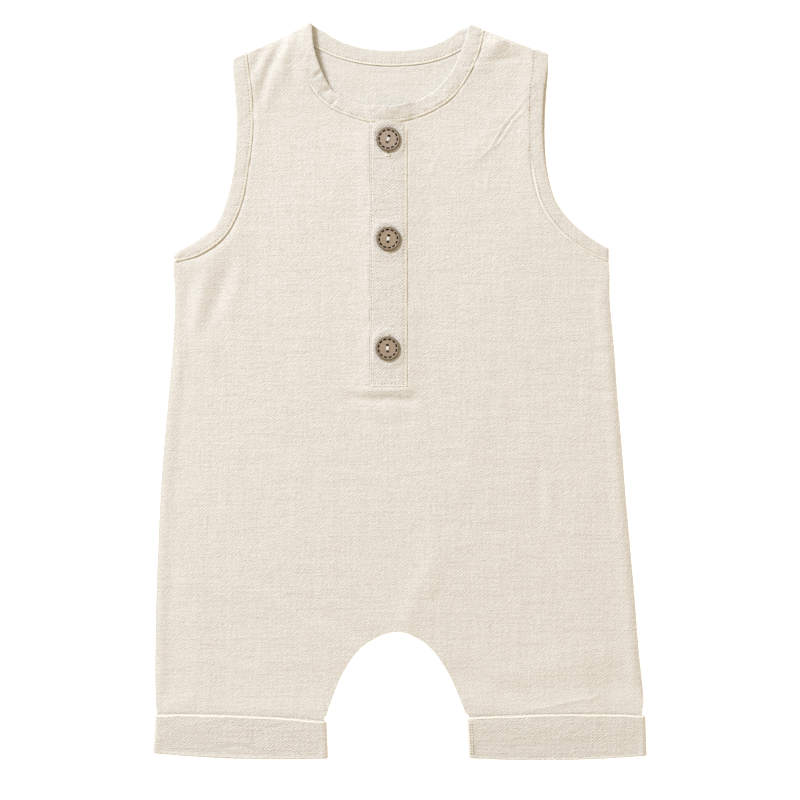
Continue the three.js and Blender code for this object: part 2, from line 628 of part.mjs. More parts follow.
// The back's shoulder, which turns over the fold and runs down the front to its seam
function shoulderFlap(side) {
  const { neck, along, out } = shoulderFrame(side);
  const length = shoulderLength(side);
  const reach = 50;
  const rows = 10;
  const across = Array.from({ length: 9 }, (_, j) => neck.clone().addScaledVector(along, (length * j) / 8));
  const turn = turnOver(across, out, SHOULDER_LEVEL, CLOTH);
  const outer = (SHOULDER_LEVEL - CLOTH) / 2 + CLOTH;
  const lower = across.map((p) => {
    const q = p.clone().addScaledVector(out, -outer - 3);
    return { outside: vec(q.x, q.y, 0), inside: vec(q.x, q.y, CLOTH) };
  });
  const upper = Array.from({ length: rows }, (_, i) =>
    across.map((p) => {
      const q = p.clone().addScaledVector(out, -outer - (reach * (i + 1)) / rows);
      const z = frontLevel(q.x, q.y);
      return { outside: vec(q.x, q.y, z + CLOTH), inside: vec(q.x, q.y, z) };
    }),
  );
  const cuts = [frontNeckCut(), armholeCut(side), shoulderSeamCut(side, false)];
  const flap = sweep([lower, ...turn, ...upper].map(closedSection), false);
  return cuts.reduce((piece, cut) => piece.subtract(cut), flap);
}

function back() {
  const outer = (SHOULDER_LEVEL - CLOTH) / 2 + CLOTH;
  const aboveFolds = ["left", "right"].map((side) => {
    const { neck, tip, along, out } = shoulderFrame(side);
    const line = [neck.clone().addScaledVector(along, -FAR / 6), tip.clone().addScaledVector(along, FAR / 6)];
    const inner = line.map((p) => p.clone().addScaledVector(out, -outer));
    const beyondFold = line.map((p) => p.clone().addScaledVector(out, FAR)).reverse();
    return prism([...inner, ...beyondFold].map((p) => [p.x, p.y]));
  });
  const cuts = [
    backNeckCut(),
    armholeCut("left"),
    armholeCut("right"),
    archCut(),
    ...aboveFolds,
    ...CUFFS.map(hemCut),
  ];
  const panel = cuts.reduce((piece, cut) => piece.subtract(cut), sheet(bodyGrid(BACK_ROWS), backLevel, CLOTH));
  return panel.add(shoulderFlap("left")).add(shoulderFlap("right"));
}

// A placket strip: a narrow sheet on the front's own form, trimmed at the neck seam
function placketStrip(left, right, bottom, raise) {
  const rows = 26;
  const places = Array.from({ length: rows + 1 }, (_, i) =>
    [0, 0.5, 1].map((w) => [lerp(left, right, w), lerp(bottom, PLACKET_TOP, i / rows)]),
  );
  return sheet(places, (x, y) => frontLevel(x, y) + raise, CLOTH).subtract(frontNeckCut());
}

const placketUnder = () => placketStrip(SLIT.left + GAP, SLIT.right - GAP, SLIT.bottom + GAP, 0);

function placketUpper() {
  const half = BUTTONHOLE_WIDTH / 2;
  const holes = BUTTONS.map(({ x, y, up, down }) =>
    prism([
      [x - half, y - down],
      [x + half, y - down],
      [x + half, y + up],
      [x - half, y + up],
    ]),
  );
  const strip = placketStrip(PLACKET.left, PLACKET.right, PLACKET.bottom, CLOTH + GAP);
  return holes.reduce((piece, hole) => piece.subtract(hole), strip);
}

// A wooden button: a turned disc with a dished face, two holes and a ring of cut dashes
function buttonSolid({ turn }) {
  const { radius, thick, rim, dish, dishRadius } = BUTTON;
  const profile = [
    [0, 0],
    [radius - rim, 0],
    [radius - rim * 0.3, rim * 0.3],
    [radius, rim],
    [radius, thick - rim],
    [radius - rim * 0.3, thick - rim * 0.3],
    [radius - rim, thick],
    [dishRadius, thick - dish],
    [0, thick - dish],
  ].map(([r, z]) => new THREE.Vector2(r, z));
  const disc = solidOf(new THREE.LatheGeometry(profile, 40).rotateX(Math.PI / 2));
  const hole = (y) => new THREE.CylinderGeometry(BUTTON_HOLES.radius, BUTTON_HOLES.radius, 4 * thick, 12)
    .rotateX(Math.PI / 2)
    .translate(0, y, 0);
  const dash = (i) => new THREE.BoxGeometry(DASHES.width, DASHES.length, 2 * DASHES.depth)
    .translate(DASHES.radius, 0, thick - dish)
    .rotateZ((2 * Math.PI * (i + 0.5)) / DASHES.count);
  const tools = [
    hole(BUTTON_HOLES.spacing / 2),
    hole(-BUTTON_HOLES.spacing / 2),
    ...Array.from({ length: DASHES.count }, (_, i) => dash(i)),
  ];
  return tools.reduce((piece, tool) => piece.subtract(solidOf(tool)), disc).rotate([0, 0, turn]);
}

const cottonLinen = () => new THREE.MeshStandardMaterial({ color: 0xebe4d6, roughness: 0.92, metalness: 0 });
const wood = () => new THREE.MeshStandardMaterial({ color: 0xa48a70, roughness: 0.6, metalness: 0 });

function meshOf(name, solid, material) {
  const made = solid.getMesh();
  const geometry = new THREE.BufferGeometry();
  geometry.setAttribute("position", new THREE.BufferAttribute(new Float32Array(made.vertProperties), 3));
  geometry.setIndex(new THREE.BufferAttribute(new Uint32Array(made.triVerts), 1));
  geometry.computeVertexNormals();
  const mesh = new THREE.Mesh(geometry, material);
  mesh.name = name;
  return mesh;
}

const romper = new THREE.Group();
romper.add(meshOf("back", back(), cottonLinen()));
romper.add(meshOf("front", front(), cottonLinen()));
romper.add(meshOf("neck_band", neckBand(), cottonLinen()));
romper.add(meshOf("armhole_band_left", armholeBand("left"), cottonLinen()));
romper.add(meshOf("armhole_band_right", armholeBand("right"), cottonLinen()));
romper.add(meshOf("placket_under", placketUnder(), cottonLinen()));
romper.add(meshOf("placket_upper", placketUpper(), cottonLinen()));
CUFFS.forEach((cuff) => romper.add(meshOf(cuff.name, cuffBand(cuff), cottonLinen())));
BUTTONS.forEach((button) => {
  const mesh = meshOf(button.name, buttonSolid(button), wood());
  const placketTop = frontLevel(button.x, button.y) + 2 * CLOTH + GAP;
  mesh.position.set(button.x, button.y, placketTop + GAP);
  romper.add(mesh);
});

export default romper;
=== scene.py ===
"""A sleeveless baby romper of cream slub crepe, laid flat on its back: neck and armholes bound with strips,
a half placket with three wooden buttons, and turned-up cuffs. Lengths in the tables are millimetres."""

import math
from functools import lru_cache

import bmesh
import bpy
import numpy as np
from mathutils import Matrix, Vector
from mathutils.geometry import delaunay_2d_cdt


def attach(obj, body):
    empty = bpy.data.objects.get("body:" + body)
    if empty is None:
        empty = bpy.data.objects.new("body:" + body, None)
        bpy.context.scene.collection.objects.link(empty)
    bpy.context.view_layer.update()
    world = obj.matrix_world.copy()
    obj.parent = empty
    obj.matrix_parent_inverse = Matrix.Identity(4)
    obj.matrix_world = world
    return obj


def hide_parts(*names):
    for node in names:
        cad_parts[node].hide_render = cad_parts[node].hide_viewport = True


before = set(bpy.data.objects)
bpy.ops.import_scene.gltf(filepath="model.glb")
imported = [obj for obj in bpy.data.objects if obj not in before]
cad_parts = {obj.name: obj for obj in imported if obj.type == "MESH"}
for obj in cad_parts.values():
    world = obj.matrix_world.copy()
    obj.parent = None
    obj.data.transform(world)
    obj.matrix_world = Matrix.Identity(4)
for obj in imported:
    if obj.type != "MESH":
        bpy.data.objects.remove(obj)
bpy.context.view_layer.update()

bl_info = {
    "name": "Baby Romper",
    "version": (1, 0, 0),
    "blender": (4, 5, 0),
    "location": "View3D > Sidebar > Romper",
    "description": "Builds a flat-laid baby romper with bound edges, placket, buttons and cuffs",
    "category": "Object",
}

MM = 0.001
STROKE_PITCH = 1.4  # from one stroke of the crepe to the next

# Cloth levels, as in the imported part
CLOTH = 1.0  # from a panel's lower face to its upper one
BOUND = 1.6  # the same for a folded strip
GAP = 0.3
SKIN = 0.65  # the real wall drawn at the top of that space
BODY_LEVEL = 1.6
LOFT = 0.8
ARM_LEVEL = 2.0
SHOULDER_LEVEL = 3.0
SHOULDER_TURN = (SHOULDER_LEVEL - BOUND) / 2  # radius at which a shoulder turns over
SIDE_CURL = 0.4
CUFF_WALL = 2.3
CUFF_LEVEL = 2.6
CUFF_TUCK = 3.0

# Body outline: height, middle, half width
BODY = [
    (-214, 0.0, 149.0),
    (-199, 0.0, 150.4),
    (-191, 0.0, 151.4),
    (-160, -1.6, 150.0),
    (-129, -2.5, 148.5),
    (-98, -3.3, 146.6),
    (-67, -4.0, 144.5),
    (-36, -4.1, 142.2),
    (-5, -4.1, 139.5),
    (26, -3.8, 137.0),
    (57, -4.4, 134.9),
    (80, -5.2, 135.1),
    (92, -5.4, 132.0),
    (104, -5.4, 118.0),
    (120, -5.4, 106.0),
    (150, -5.4, 98.0),
    (230, -5.4, 99.0),
]
BODY_MIDDLE = -5.4

# Shoulder folds: neck end and tip
SHOULDERS = {"left": ((-55.3, 228.3), (-104.2, 207.0)), "right": ((43.6, 228.5), (92.9, 209.6))}
NECK_STRIP = 10.4
ARM_STRIP = 9.5

# Strips: free edge x and y, then seam x and y
NECK_LEFT = [
    (2.5, 178.1, 2.5, 167.9),
    (-7.9, 177.0, -7.9, 167.0),
    (-17.4, 177.3, -18.5, 167.3),
    (-27.0, 179.3, -30.0, 170.5),
    (-35.7, 182.9, -41.5, 175.5),
    (-42.3, 188.0, -50.5, 183.0),
    (-48.8, 200.0, -57.0, 193.5),
    (-53.2, 214.0, -62.5, 210.0),
]
NECK_BACK = [
    (-48.0, 224.1, -56.0, 215.5),
    (-41.9, 220.4, -45.5, 210.3),
    (-34.4, 216.7, -36.0, 206.6),
    (-20.8, 213.0, -22.0, 203.4),
    (-5.3, 211.9, -5.3, 202.2),
    (12.7, 213.0, 13.5, 203.4),
    (24.5, 216.7, 27.7, 207.0),
    (31.3, 220.4, 37.1, 211.4),
    (37.0, 224.4, 45.0, 217.0),
]
NECK_RIGHT = [
    (40.3, 216.9, 50.5, 214.5),
    (36.4, 207.4, 47.4, 205.0),
    (32.4, 199.5, 42.7, 195.6),
    (27.6, 193.1, 36.4, 186.1),
    (22.1, 187.2, 29.3, 179.3),
    (14.2, 182.1, 20.5, 174.0),
    (7.9, 179.7, 11.0, 170.0),
    (0.0, 177.8, 1.5, 167.6),
    (-7.9, 177.0, -7.9, 167.0),
    (-17.4, 177.3, -17.4, 167.0),
]
# The same for the armholes, with how far the front's free edge is tucked in
ARMHOLES = {
    "left": [
        (-126.5, 93.8, -123.5, 84.8, 0),
        (-114.5, 103.0, -108.0, 96.4, 0),
        (-107.3, 119.0, -98.2, 115.5, 0),
        (-102.9, 140.0, -93.4, 140.0, 0),
        (-101.4, 162.0, -90.9, 162.0, 0),
        (-102.0, 183.0, -91.5, 184.0, 0),
        (-103.4, 197.0, -93.5, 200.0, 0),
    ],
    "right": [
        (117.0, 96.6, 113.0, 88.2, 0),
        (105.0, 107.0, 98.5, 100.0, 0),
        (96.4, 120.0, 87.3, 117.0, 0.3),
        (91.5, 139.0, 82.0, 140.0, 0.8),
        (90.2, 160.0, 80.3, 161.0, 1.5),
        (91.0, 182.0, 80.7, 184.0, 1.8),
        (92.2, 198.0, 82.5, 201.0, 1.0),
    ],
}
# Underarms: free edge, seam, and the way out
UNDERARMS = {
    "left": ((-140.3, 86.6), (-140.3, 80.4), -1),
    "right": ((129.9, 89.6), (129.9, 80.8), 1),
}
SHOULDER_SEAMS = {
    "left": [(-120, 205), (-94, 204), (-57.5, 191.5), (-25, 188)],
    "right": [(110, 207), (82.5, 206.5), (48.0, 207.3), (10, 207.3)],
}
LEG_ARCH = [
    (-47.4, -216),
    (-47.0, -204.4),
    (-45.0, -200.0),
    (-43.1, -194.4),
    (-35.7, -175.8),
    (-25.1, -160.3),
    (-12.5, -152.0),
    (-1.0, -149.2),
    (9.5, -152.2),
    (20.2, -160.3),
    (30.7, -175.8),
    (38.8, -194.4),
    (40.6, -199.0),
    (43.1, -202.2),
    (43.5, -216),
]
# Cuffs: sides at the top and at the bottom, then the rims at left, middle and right
CUFFS = {
    "left": ((-151.9, -45.3), (-153.5, -44.2), (-200.4, -201.0, -204.6), (-224.4, -227.7, -227.6)),
    "right": ((41.2, 152.5), (42.6, 153.5), (-202.4, -200.3, -200.9), (-227.4, -228.5, -225.9)),
}
PLACKET = {"left": -17.4, "right": 4.7, "bottom": 3.1, "top": 172.0}
FREE_EDGE = -18.3  # the placket's left edge, which opens
EDGE_STITCH = 0.85
SLIT = {"left": -14.4, "right": 2.0, "bottom": 6.0}
LAP_END = (4, 11)

# Buttons: middle, turn in degrees, and the ends of the buttonhole above and below the middle
BUTTONS = {
    "top": (-7.0, 156.2, -17, 6.5, 10.4),
    "middle": (-6.9, 94.5, -9, 8.0, 8.9),
    "bottom": (-7.4, 26.7, 2, 8.9, 8.0),
}

# Largest folds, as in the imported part: ends, height and half width
FOLDS = [
    (-57, 212, -55, 197, 1.3, 11),
    (-70, 216, -82, 184, 0.9, 5),
    (-80, 212, -90, 192, 0.6, 4),
    (62, 217, 52, 203, 0.8, 5),
    (-22, 0, 4, 0.5, 0.7, 4),
    (-30, -4.5, 8, -5.5, -0.6, 3.5),
    (-24, -152, -98, -120, 0.6, 9),
    (8, -142, 34, -96, 0.6, 9),
    (62, -178, 128, -165, 0.6, 8),
    (-130, -120, -120, -180, 0.5, 8),
    (-126, 62, -118, 20, 0.6, 7),
    (48, 150, 80, 186, 0.5, 6),
]

# Creases of the front and its strips: height and half width, then the line's points
CREASES = [
    # pressed pair beside the right armhole
    (0.42, 0.9, [(79.5, 183.0), (64.2, 164.2), (57.2, 151.8), (45.6, 140.4)]),
    (0.38, 0.9, [(79.5, 176.6), (70.4, 167.3), (62.3, 154.9), (57.2, 149.7)]),
    (-0.22, 2.2, [(76.0, 177.0), (66.0, 163.0), (58.0, 151.0)]),
    # short ones on the chest
    (0.16, 1.0, [(26.2, 148.7), (20.8, 139.5), (20.5, 133.2)]),
    (0.16, 1.0, [(54.9, 138.6), (54.1, 126.2), (51.8, 120.8)]),
    # left shoulder
    (0.65, 3.6, [(-69.5, 216.0), (-70.7, 205.0), (-72.0, 193.0)]),
    (-0.85, 3.0, [(-69.8, 220.4), (-75.3, 210.5), (-81.8, 198.1), (-85.3, 184.8), (-87.4, 178.3)]),
    (-0.7, 2.6, [(-86.0, 210.0), (-90.0, 202.0), (-91.0, 197.0)]),
    (0.25, 2.0, [(-79.5, 212.0), (-85.0, 197.0), (-88.5, 186.0)]),
    # right shoulder
    (1.0, 6.0, [(53.5, 211.5), (60.0, 215.5), (68.0, 216.5)]),
    (-0.5, 1.8, [(49.0, 204.3), (60.0, 204.8), (75.0, 207.8)]),
    (-0.5, 1.3, [(55.5, 222.3), (52.4, 216.7)]),
    (0.3, 1.6, [(53.0, 217.5), (50.8, 209.5)]),
    # left side, below the armhole
    (-0.6, 4.6, [(-128.0, 78.0), (-133.0, 54.0), (-136.5, 30.0)]),
    (0.55, 4.0, [(-119.0, 76.0), (-124.0, 55.0), (-128.0, 32.0)]),
    (-0.65, 4.0, [(-105.0, 80.0), (-112.0, 60.0), (-120.5, 38.0)]),
    (0.35, 4.5, [(-96.0, 84.0), (-101.0, 64.0), (-107.0, 42.0)]),
    (-0.42, 4.5, [(-136.5, 12.0), (-140.5, -40.0), (-143.5, -95.0), (-145.0, -150.0), (-145.5, -190.0)]),
    # right side dimples
    (-0.4, 1.8, [(122.0, 37.5), (132.5, 35.0)]),
    (-0.45, 1.8, [(120.0, 25.5), (133.0, 22.5)]),
    (-0.4, 2.0, [(116.0, 1.0), (134.0, -1.5)]),
    (0.3, 2.0, [(118.0, 13.0), (134.5, 10.0)]),
    (-0.3, 3.0, [(86.0, -46.0), (85.5, -84.0)]),
    (0.22, 3.0, [(92.0, -44.0), (92.0, -82.0)]),
    # where the panels fall away from the strips: left underarm and the placket's top
    (0.9, 12.0, [(-136.0, 78.0), (-120.0, 81.0), (-106.0, 91.0), (-98.0, 106.0)]),
    (0.7, 5.5, [(-17.5, 168.5), (3.5, 168.5)]),
    # under the placket
    (-0.5, 1.7, [(-31.9, -1.6), (-23.3, -4.6), (-12.1, -5.8), (-7.1, -3.6), (0.3, -5.2), (8.4, -5.9)]),
    (0.3, 2.0, [(-29.0, 1.2), (-12.0, 0.6), (2.0, 0.4)]),
    (-0.2, 4.0, [(-30.7, -14.6), (-8.0, -20.8), (9.6, -19.0)]),
    (0.16, 3.5, [(-34.0, -9.5), (-12.0, -12.5), (12.0, -10.5)]),
    # crotch and legs
    (-0.9, 5.5, [(-92.0, -113.0), (-52.0, -138.0), (-14.0, -156.1)]),
    (0.34, 5.5, [(0.3, -146.8), (18.9, -107.6), (22.0, -76.7)]),
    (-0.16, 4.5, [(8.0, -148.0), (27.0, -118.0), (37.0, -88.0)]),
    (-0.55, 6.5, [(29.3, -172.7), (56.0, -180.0), (84.9, -199.5)]),
    (-0.6, 6.5, [(104.8, -157.3), (124.0, -172.0), (138.7, -193.3)]),
    (0.7, 8.0, [(90.0, -156.0), (108.0, -170.0), (120.0, -192.0)]),
    (0.3, 1.0, [(75.0, -198.7), (92.0, -195.5), (102.6, -193.1), (115.0, -191.0), (127.4, -187.6)]),
    (0.16, 1.2, [(111.0, -189.5), (117.5, -192.0), (123.0, -188.0)]),
    (-0.16, 3.5, [(-120.0, -186.0), (-90.0, -192.0), (-62.0, -188.0)]),
    (0.14, 3.5, [(-112.0, -168.0), (-84.0, -176.0)]),
    # the strip round the neck
    (0.5, 1.4, [(-48.0, 201.4), (-51.0, 198.8), (-53.8, 196.4)]),
    (-0.6, 1.4, [(-47.2, 199.2), (-50.0, 196.4), (-52.8, 194.0)]),
    (0.35, 1.4, [(-45.5, 196.4), (-50.0, 193.6), (-54.0, 192.6)]),
    (0.8, 1.3, [(-43.6, 190.2), (-46.4, 189.0), (-49.6, 190.4)]),
    (-0.9, 1.1, [(-42.0, 187.4), (-45.2, 185.8), (-48.6, 187.2)]),
    (-0.6, 0.7, [(-38.0, 181.6), (-41.5, 178.6), (-43.6, 176.0)]),
    (0.3, 0.9, [(-36.5, 182.0), (-39.5, 178.8)]),
    (-0.28, 1.2, [(-23.9, 174.5), (-18.9, 170.0)]),
    (-0.3, 1.3, [(-16.4, 173.4), (-9.0, 169.8)]),
    (-0.22, 1.4, [(-7.1, 174.0), (1.0, 169.8)]),
    (-0.3, 1.1, [(7.8, 177.6), (14.0, 173.2)]),
    (0.22, 1.1, [(9.8, 179.4), (17.2, 175.0)]),
    (-0.26, 1.0, [(15.2, 182.0), (25.7, 179.4)]),
    (-0.5, 1.0, [(3.5, 178.8), (9.4, 176.2)]),
    (0.45, 1.0, [(8.8, 180.4), (14.6, 181.6), (18.8, 185.0)]),
    (-0.6, 0.9, [(17.2, 178.6), (22.0, 179.8), (26.0, 182.6)]),
    (0.4, 0.8, [(20.5, 177.0), (28.4, 181.6)]),
    (-0.45, 0.9, [(23.6, 186.6), (30.8, 191.2)]),
    (0.4, 0.9, [(27.4, 184.6), (34.0, 190.6)]),
    (-0.5, 0.35, [(40.0, 209.6), (46.6, 206.4)]),
    (0.3, 0.4, [(-8.5, 177.5), (-8.5, 166.5)]),
]
# Creases of the left and the right cuff
CUFF_CREASES = [
    (0.3, 0.9, [(-115.8, -216.7), (-98.9, -217.9), (-85.9, -219.8), (-74.1, -224.1)]),
    (-0.2, 1.6, [(-112.0, -219.5), (-92.0, -221.0)]),
    (-0.25, 2.4, [(-58.0, -208.0), (-52.0, -222.0)]),
    (-0.2, 2.0, [(-140.0, -212.0), (-134.0, -222.0)]),
    (0.3, 0.8, [(81.5, -227.2), (93.3, -219.2), (104.0, -212.0), (117.5, -204.0)]),
    (-0.18, 1.6, [(70.0, -222.0), (88.0, -219.0)]),
    (-0.2, 2.0, [(124.0, -208.0), (132.0, -221.0)]),
]
# Creases of the inside of the back, seen through the neck
BACK_CREASES = [
    (0.14, 0.8, [(-14.6, 195.0), (-14.9, 178.0)]),
    (0.12, 1.6, [(-40.0, 208.0), (-32.0, 190.0)]),
    (-0.12, 2.4, [(8.0, 200.0), (18.0, 186.0)]),
]


# Sums on points


def clamp01(t):
    return np.clip(t, 0.0, 1.0)


def ease(t, low, high):
    """From 0 at low to 1 at high, smoothly."""
    s = clamp01((np.asarray(t, float) - low) / (high - low))
    return s * s * (3 - 2 * s)


def blend(a, b, share):
    return a + (b - a) * share


def on_table(rows, y, column):
    """A column of a table at height y, on a smooth curve through its rows."""
    table = np.array(rows, float)
    ys, values = table[:, 0], table[:, column]
    y = np.clip(np.asarray(y, float), ys[0], ys[-1])
    k = np.clip(np.searchsorted(ys, y, side="right") - 1, 0, len(ys) - 2)
    before, after = np.maximum(k - 1, 0), np.minimum(k + 2, len(ys) - 1)
    span = ys[k + 1] - ys[k]
    slope_a = (values[k + 1] - values[before]) / (ys[k + 1] - ys[before]) * span
    slope_b = (values[after] - values[k]) / (ys[after] - ys[k]) * span
    rise = values[k + 1] - values[k]
    t = (y - ys[k]) / span
    curved = 3 * rise - 2 * slope_a - slope_b + t * (slope_a + slope_b - 2 * rise)
    return values[k] + t * slope_a + t * t * curved


def smooth_line(rows, step):
    """Points every step mm on a smooth curve through a table's rows, whatever their columns."""
    table = np.array(rows, float)
    count = len(table)
    dense = []
    for i in range(count - 1):
        p0, p1 = table[max(i - 1, 0)] if i else table[i], table[i]
        p2, p3 = table[i + 1], table[min(i + 2, count - 1)]
        for t in np.arange(16) / 16:
            v0, v1 = (p2 - p0) / 2, (p3 - p1) / 2
            dense.append(
                (2 * p1 - 2 * p2 + v0 + v1) * t**3 + (-3 * p1 + 3 * p2 - 2 * v0 - v1) * t**2 + v0 * t + p1
            )
    dense.append(table[-1])
    return evenly(np.array(dense), step)


def run_of(line):
    """How far along a line each of its points is."""
    return np.concatenate([[0], np.cumsum(np.linalg.norm(np.diff(line, axis=0), axis=1))])


def at_run(line, along, place):
    """The point of a line at a distance along it."""
    return np.array([np.interp(place, along, column) for column in line.T])


def evenly(points, step):
    """The same line with points every step mm, measured on the mean of its pairs of columns."""
    pairs = points[:, : 2 * (points.shape[1] // 2)].reshape(len(points), -1, 2).mean(axis=1)
    along = run_of(pairs)
    places = np.linspace(0, along[-1], max(2, int(round(along[-1] / step)) + 1))
    return np.stack([np.interp(places, along, points[:, c]) for c in range(points.shape[1])], axis=1)


def normals_left(line):
    """Unit vectors to the left of a line in plan."""
    along = np.gradient(line, axis=0)
    along /= np.linalg.norm(along, axis=1, keepdims=True)
    return np.stack([-along[:, 1], along[:, 0]], axis=1)


def moved(line, distance):
    """A line in plan moved to its left by a distance."""
    return line + normals_left(line) * distance


def distance_to(x, y, line):
    """Distance of each point to a line in plan, with its sign positive on the line's left, and where
    on the line the nearest point is, from 0 to 1."""
    shape = np.shape(x)
    px, py = np.ravel(x), np.ravel(y)
    best = np.full(px.shape, 1e18)
    side, place = np.zeros(px.shape), np.zeros(px.shape)
    line = np.asarray(line, float)
    for i, ((ax, ay), (bx, by)) in enumerate(zip(line[:-1], line[1:])):
        dx, dy = bx - ax, by - ay
        rx, ry = px - ax, py - ay
        t = clamp01((rx * dx + ry * dy) / max(dx * dx + dy * dy, 1e-9))
        away = (rx - t * dx) ** 2 + (ry - t * dy) ** 2
        closer = away < best
        best[closer] = away[closer]
        side[closer] = (dx * ry - dy * rx)[closer]
        place[closer] = (i + t[closer]) / (len(line) - 1)
    signed = np.sqrt(best) * np.where(side < 0, -1, 1)
    return signed.reshape(shape), place.reshape(shape)


def away_from(x, y, line):
    return np.abs(distance_to(x, y, line)[0])


def bumps(x, y, table, fade):
    """Sum of soft ridges along lines, each worked out only for the points near it."""
    x, y = np.asarray(x, float), np.asarray(y, float)
    total = np.zeros(x.shape)
    for high, wide, line in table:
        line = np.asarray(line, float)
        low, top = line.min(axis=0) - 3.2 * wide, line.max(axis=0) + 3.2 * wide
        near = (x > low[0]) & (x < top[0]) & (y > low[1]) & (y < top[1])
        if np.any(near):
            away, place = distance_to(x[near], y[near], line)
            total[near] += high * fade(place) * np.exp(-((away / wide) ** 2))
    return total


@lru_cache(maxsize=None)
def random_heights(size, seed):
    return np.random.default_rng(seed).uniform(-1, 1, (size, size))


def rumple(x, y, cell, seed):
    """Smooth uneven heights from -1 to 1 with humps about a cell wide."""
    heights = random_heights(int(1400 / cell) + 4, seed)
    u, v = (np.asarray(x) + 700) / cell, (np.asarray(y) + 700) / cell
    i, j = np.floor(u).astype(int), np.floor(v).astype(int)
    fu, fv = u - i, v - j
    fu, fv = fu**3 * (fu * (fu * 6 - 15) + 10), fv**3 * (fv * (fv * 6 - 15) + 10)
    low = blend(heights[i, j], heights[i + 1, j], fu)
    high = blend(heights[i, j + 1], heights[i + 1, j + 1], fu)
    return blend(low, high, fv)


# The garment's own heights


def in_from_side(x, y):
    return on_table(BODY, y, 2) - np.abs(x - on_table(BODY, y, 1))


def shoulder_frame(side):
    """Neck end of a shoulder fold, the way along it, the way out, and its length."""
    neck, tip = (np.array(p, float) for p in SHOULDERS[side])
    length = np.linalg.norm(tip - neck)
    along = (tip - neck) / length
    out = np.array([-along[1], along[0]]) * np.sign(along[0])
    return neck, along, out, length


def below_shoulder(x, y):
    below = []
    for side in ("left", "right"):
        neck, along, _, _ = shoulder_frame(side)
        below.append(abs(along[0]) * (neck[1] - y) + np.sign(along[0]) * along[1] * (x - neck[0]))
    return np.where(x < BODY_MIDDLE, below[0], below[1])


def folds(x, y):
    table = [(high, wide, [(x0, y0), (x1, y1)]) for x0, y0, x1, y1, high, wide in FOLDS]
    return bumps(x, y, table, np.ones_like)


def creases(x, y, table):
    """Heights of the finer creases, each fading out at its ends."""
    return bumps(x, y, table, lambda place: np.sin(math.pi * np.clip(place, 0.04, 0.96)) ** 0.5)


def back_level(x, y):
    over_cuff = 1 - ease(y, -198.5, -186)
    curl = 1 - ease(in_from_side(x, y), 0, 4)
    beside = ease(y, -190, -180) * (1 - ease(y, 60, 74))
    return (CLOTH + GAP) * over_cuff + SIDE_CURL * curl * beside


def front_level(x, y):
    """The front's lower face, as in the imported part."""
    x, y = np.asarray(x, float), np.asarray(y, float)
    inside = in_from_side(x, y)
    share = clamp01(1 - inside / on_table(BODY, y, 2))
    beside = ease(y, -190, -175) * (1 - ease(y, 60, 74))
    rim = back_level(x, y) + CLOTH + GAP
    lofted = ease(y, -150, -60) * (1 - ease(y, 110, 170))
    z = BODY_LEVEL + LOFT * (1 - share**2) * lofted
    z = z + 0.6 * beside * np.exp(-(((inside - 4.5) / 4.0) ** 2))
    z = blend(z, rim, beside * (1 - ease(inside, 0, 3.5)))
    z = blend(z, SHOULDER_LEVEL, 1 - ease(below_shoulder(x, y), 6, 44))
    near_arm = ease(np.abs(x - BODY_MIDDLE), 72, 84) * ease(y, 56, 74)
    z = blend(z, np.maximum(z, ARM_LEVEL), near_arm)
    near_cuff = 1 - ease(y, -198.5, -180)
    z = z + folds(x, y) * ease(inside, 0, 12) * (1 - near_cuff)
    return np.maximum(blend(z, CUFF_LEVEL, near_cuff), rim)


def front_rumples(x, y):
    """Finer unevenness of the front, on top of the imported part's form."""
    inside = in_from_side(x, y)
    calm = ease(inside, 0, 10) * ease(y, -203, -192)
    soft = 0.2 * rumple(x, y, 46, 3) + 0.08 * rumple(x, y, 23, 7) + 0.02 * rumple(x, y, 11, 11)
    # Crinkles of the crepe: long and narrow, across and down
    across = 0.1 * rumple(x / 6, y, 4.2, 5) + 0.08 * rumple(x / 4, y, 7.5, 6)
    down = 0.08 * rumple(x, y / 6, 4.2, 8) + 0.08 * rumple(x, y / 4, 7.5, 9)
    # Stitching gathers the cloth beside the placket
    off = round_placket(x, y)
    gathered = blend(0.5, 0.3, ease(x, -20, 0)) * rumple(x * 0.7, y, 8.5, 12)
    gathered = gathered * np.exp(-((off / 9) ** 2)) * ease(off, 0, 1)
    return (soft + across + down + gathered) * calm + 1.3 * creases(x, y, CREASES) * ease(inside, 0, 5)


def lap_raise(x):
    """How far the lapped end of the neck strip is lifted over the placket. It settles slowly to the right."""
    return (BOUND + GAP) * (1 - ease(x, LAP_END[0] - 16, LAP_END[1]))


def lapped_level(x, y):
    """Lower face of the neck strip's right part, whose end over the placket leans down to its seam."""
    inward = np.maximum(-distance_to(x, y, SEAMS_FRONT["neck"])[0], 0)
    lean = ease(x, -20, -16) * (1 - ease(x, 2, 15))
    return front_level(x, y) + lap_raise(x) + 0.18 * inward * lean


# Stations of the strips


def fold_row(side, edge_at, seam_at):
    neck, along, out, _ = shoulder_frame(side)
    base = neck - out * (SHOULDER_TURN + BOUND)
    return (*(base + along * edge_at), *(base + along * seam_at))


def neck_fold(side):
    return fold_row(side, 0, NECK_STRIP)


def arm_fold(side):
    length = shoulder_frame(side)[3]
    return fold_row(side, length, length - ARM_STRIP)


def arm_rows(side, tucked):
    (ex, ey), (sx, sy), sign = UNDERARMS[side]
    inward = -sign * ((ARM_LEVEL - BOUND) / 2 + BOUND)
    rows = [(ex + inward, ey, sx + inward, sy)]
    for ax, ay, bx, by, tuck in ARMHOLES[side]:
        reach = math.hypot(bx - ax, by - ay)
        share = tuck / reach if tucked else 0
        rows.append((ax + (bx - ax) * share, ay + (by - ay) * share, bx, by))
    rows.append(arm_fold(side))
    return rows


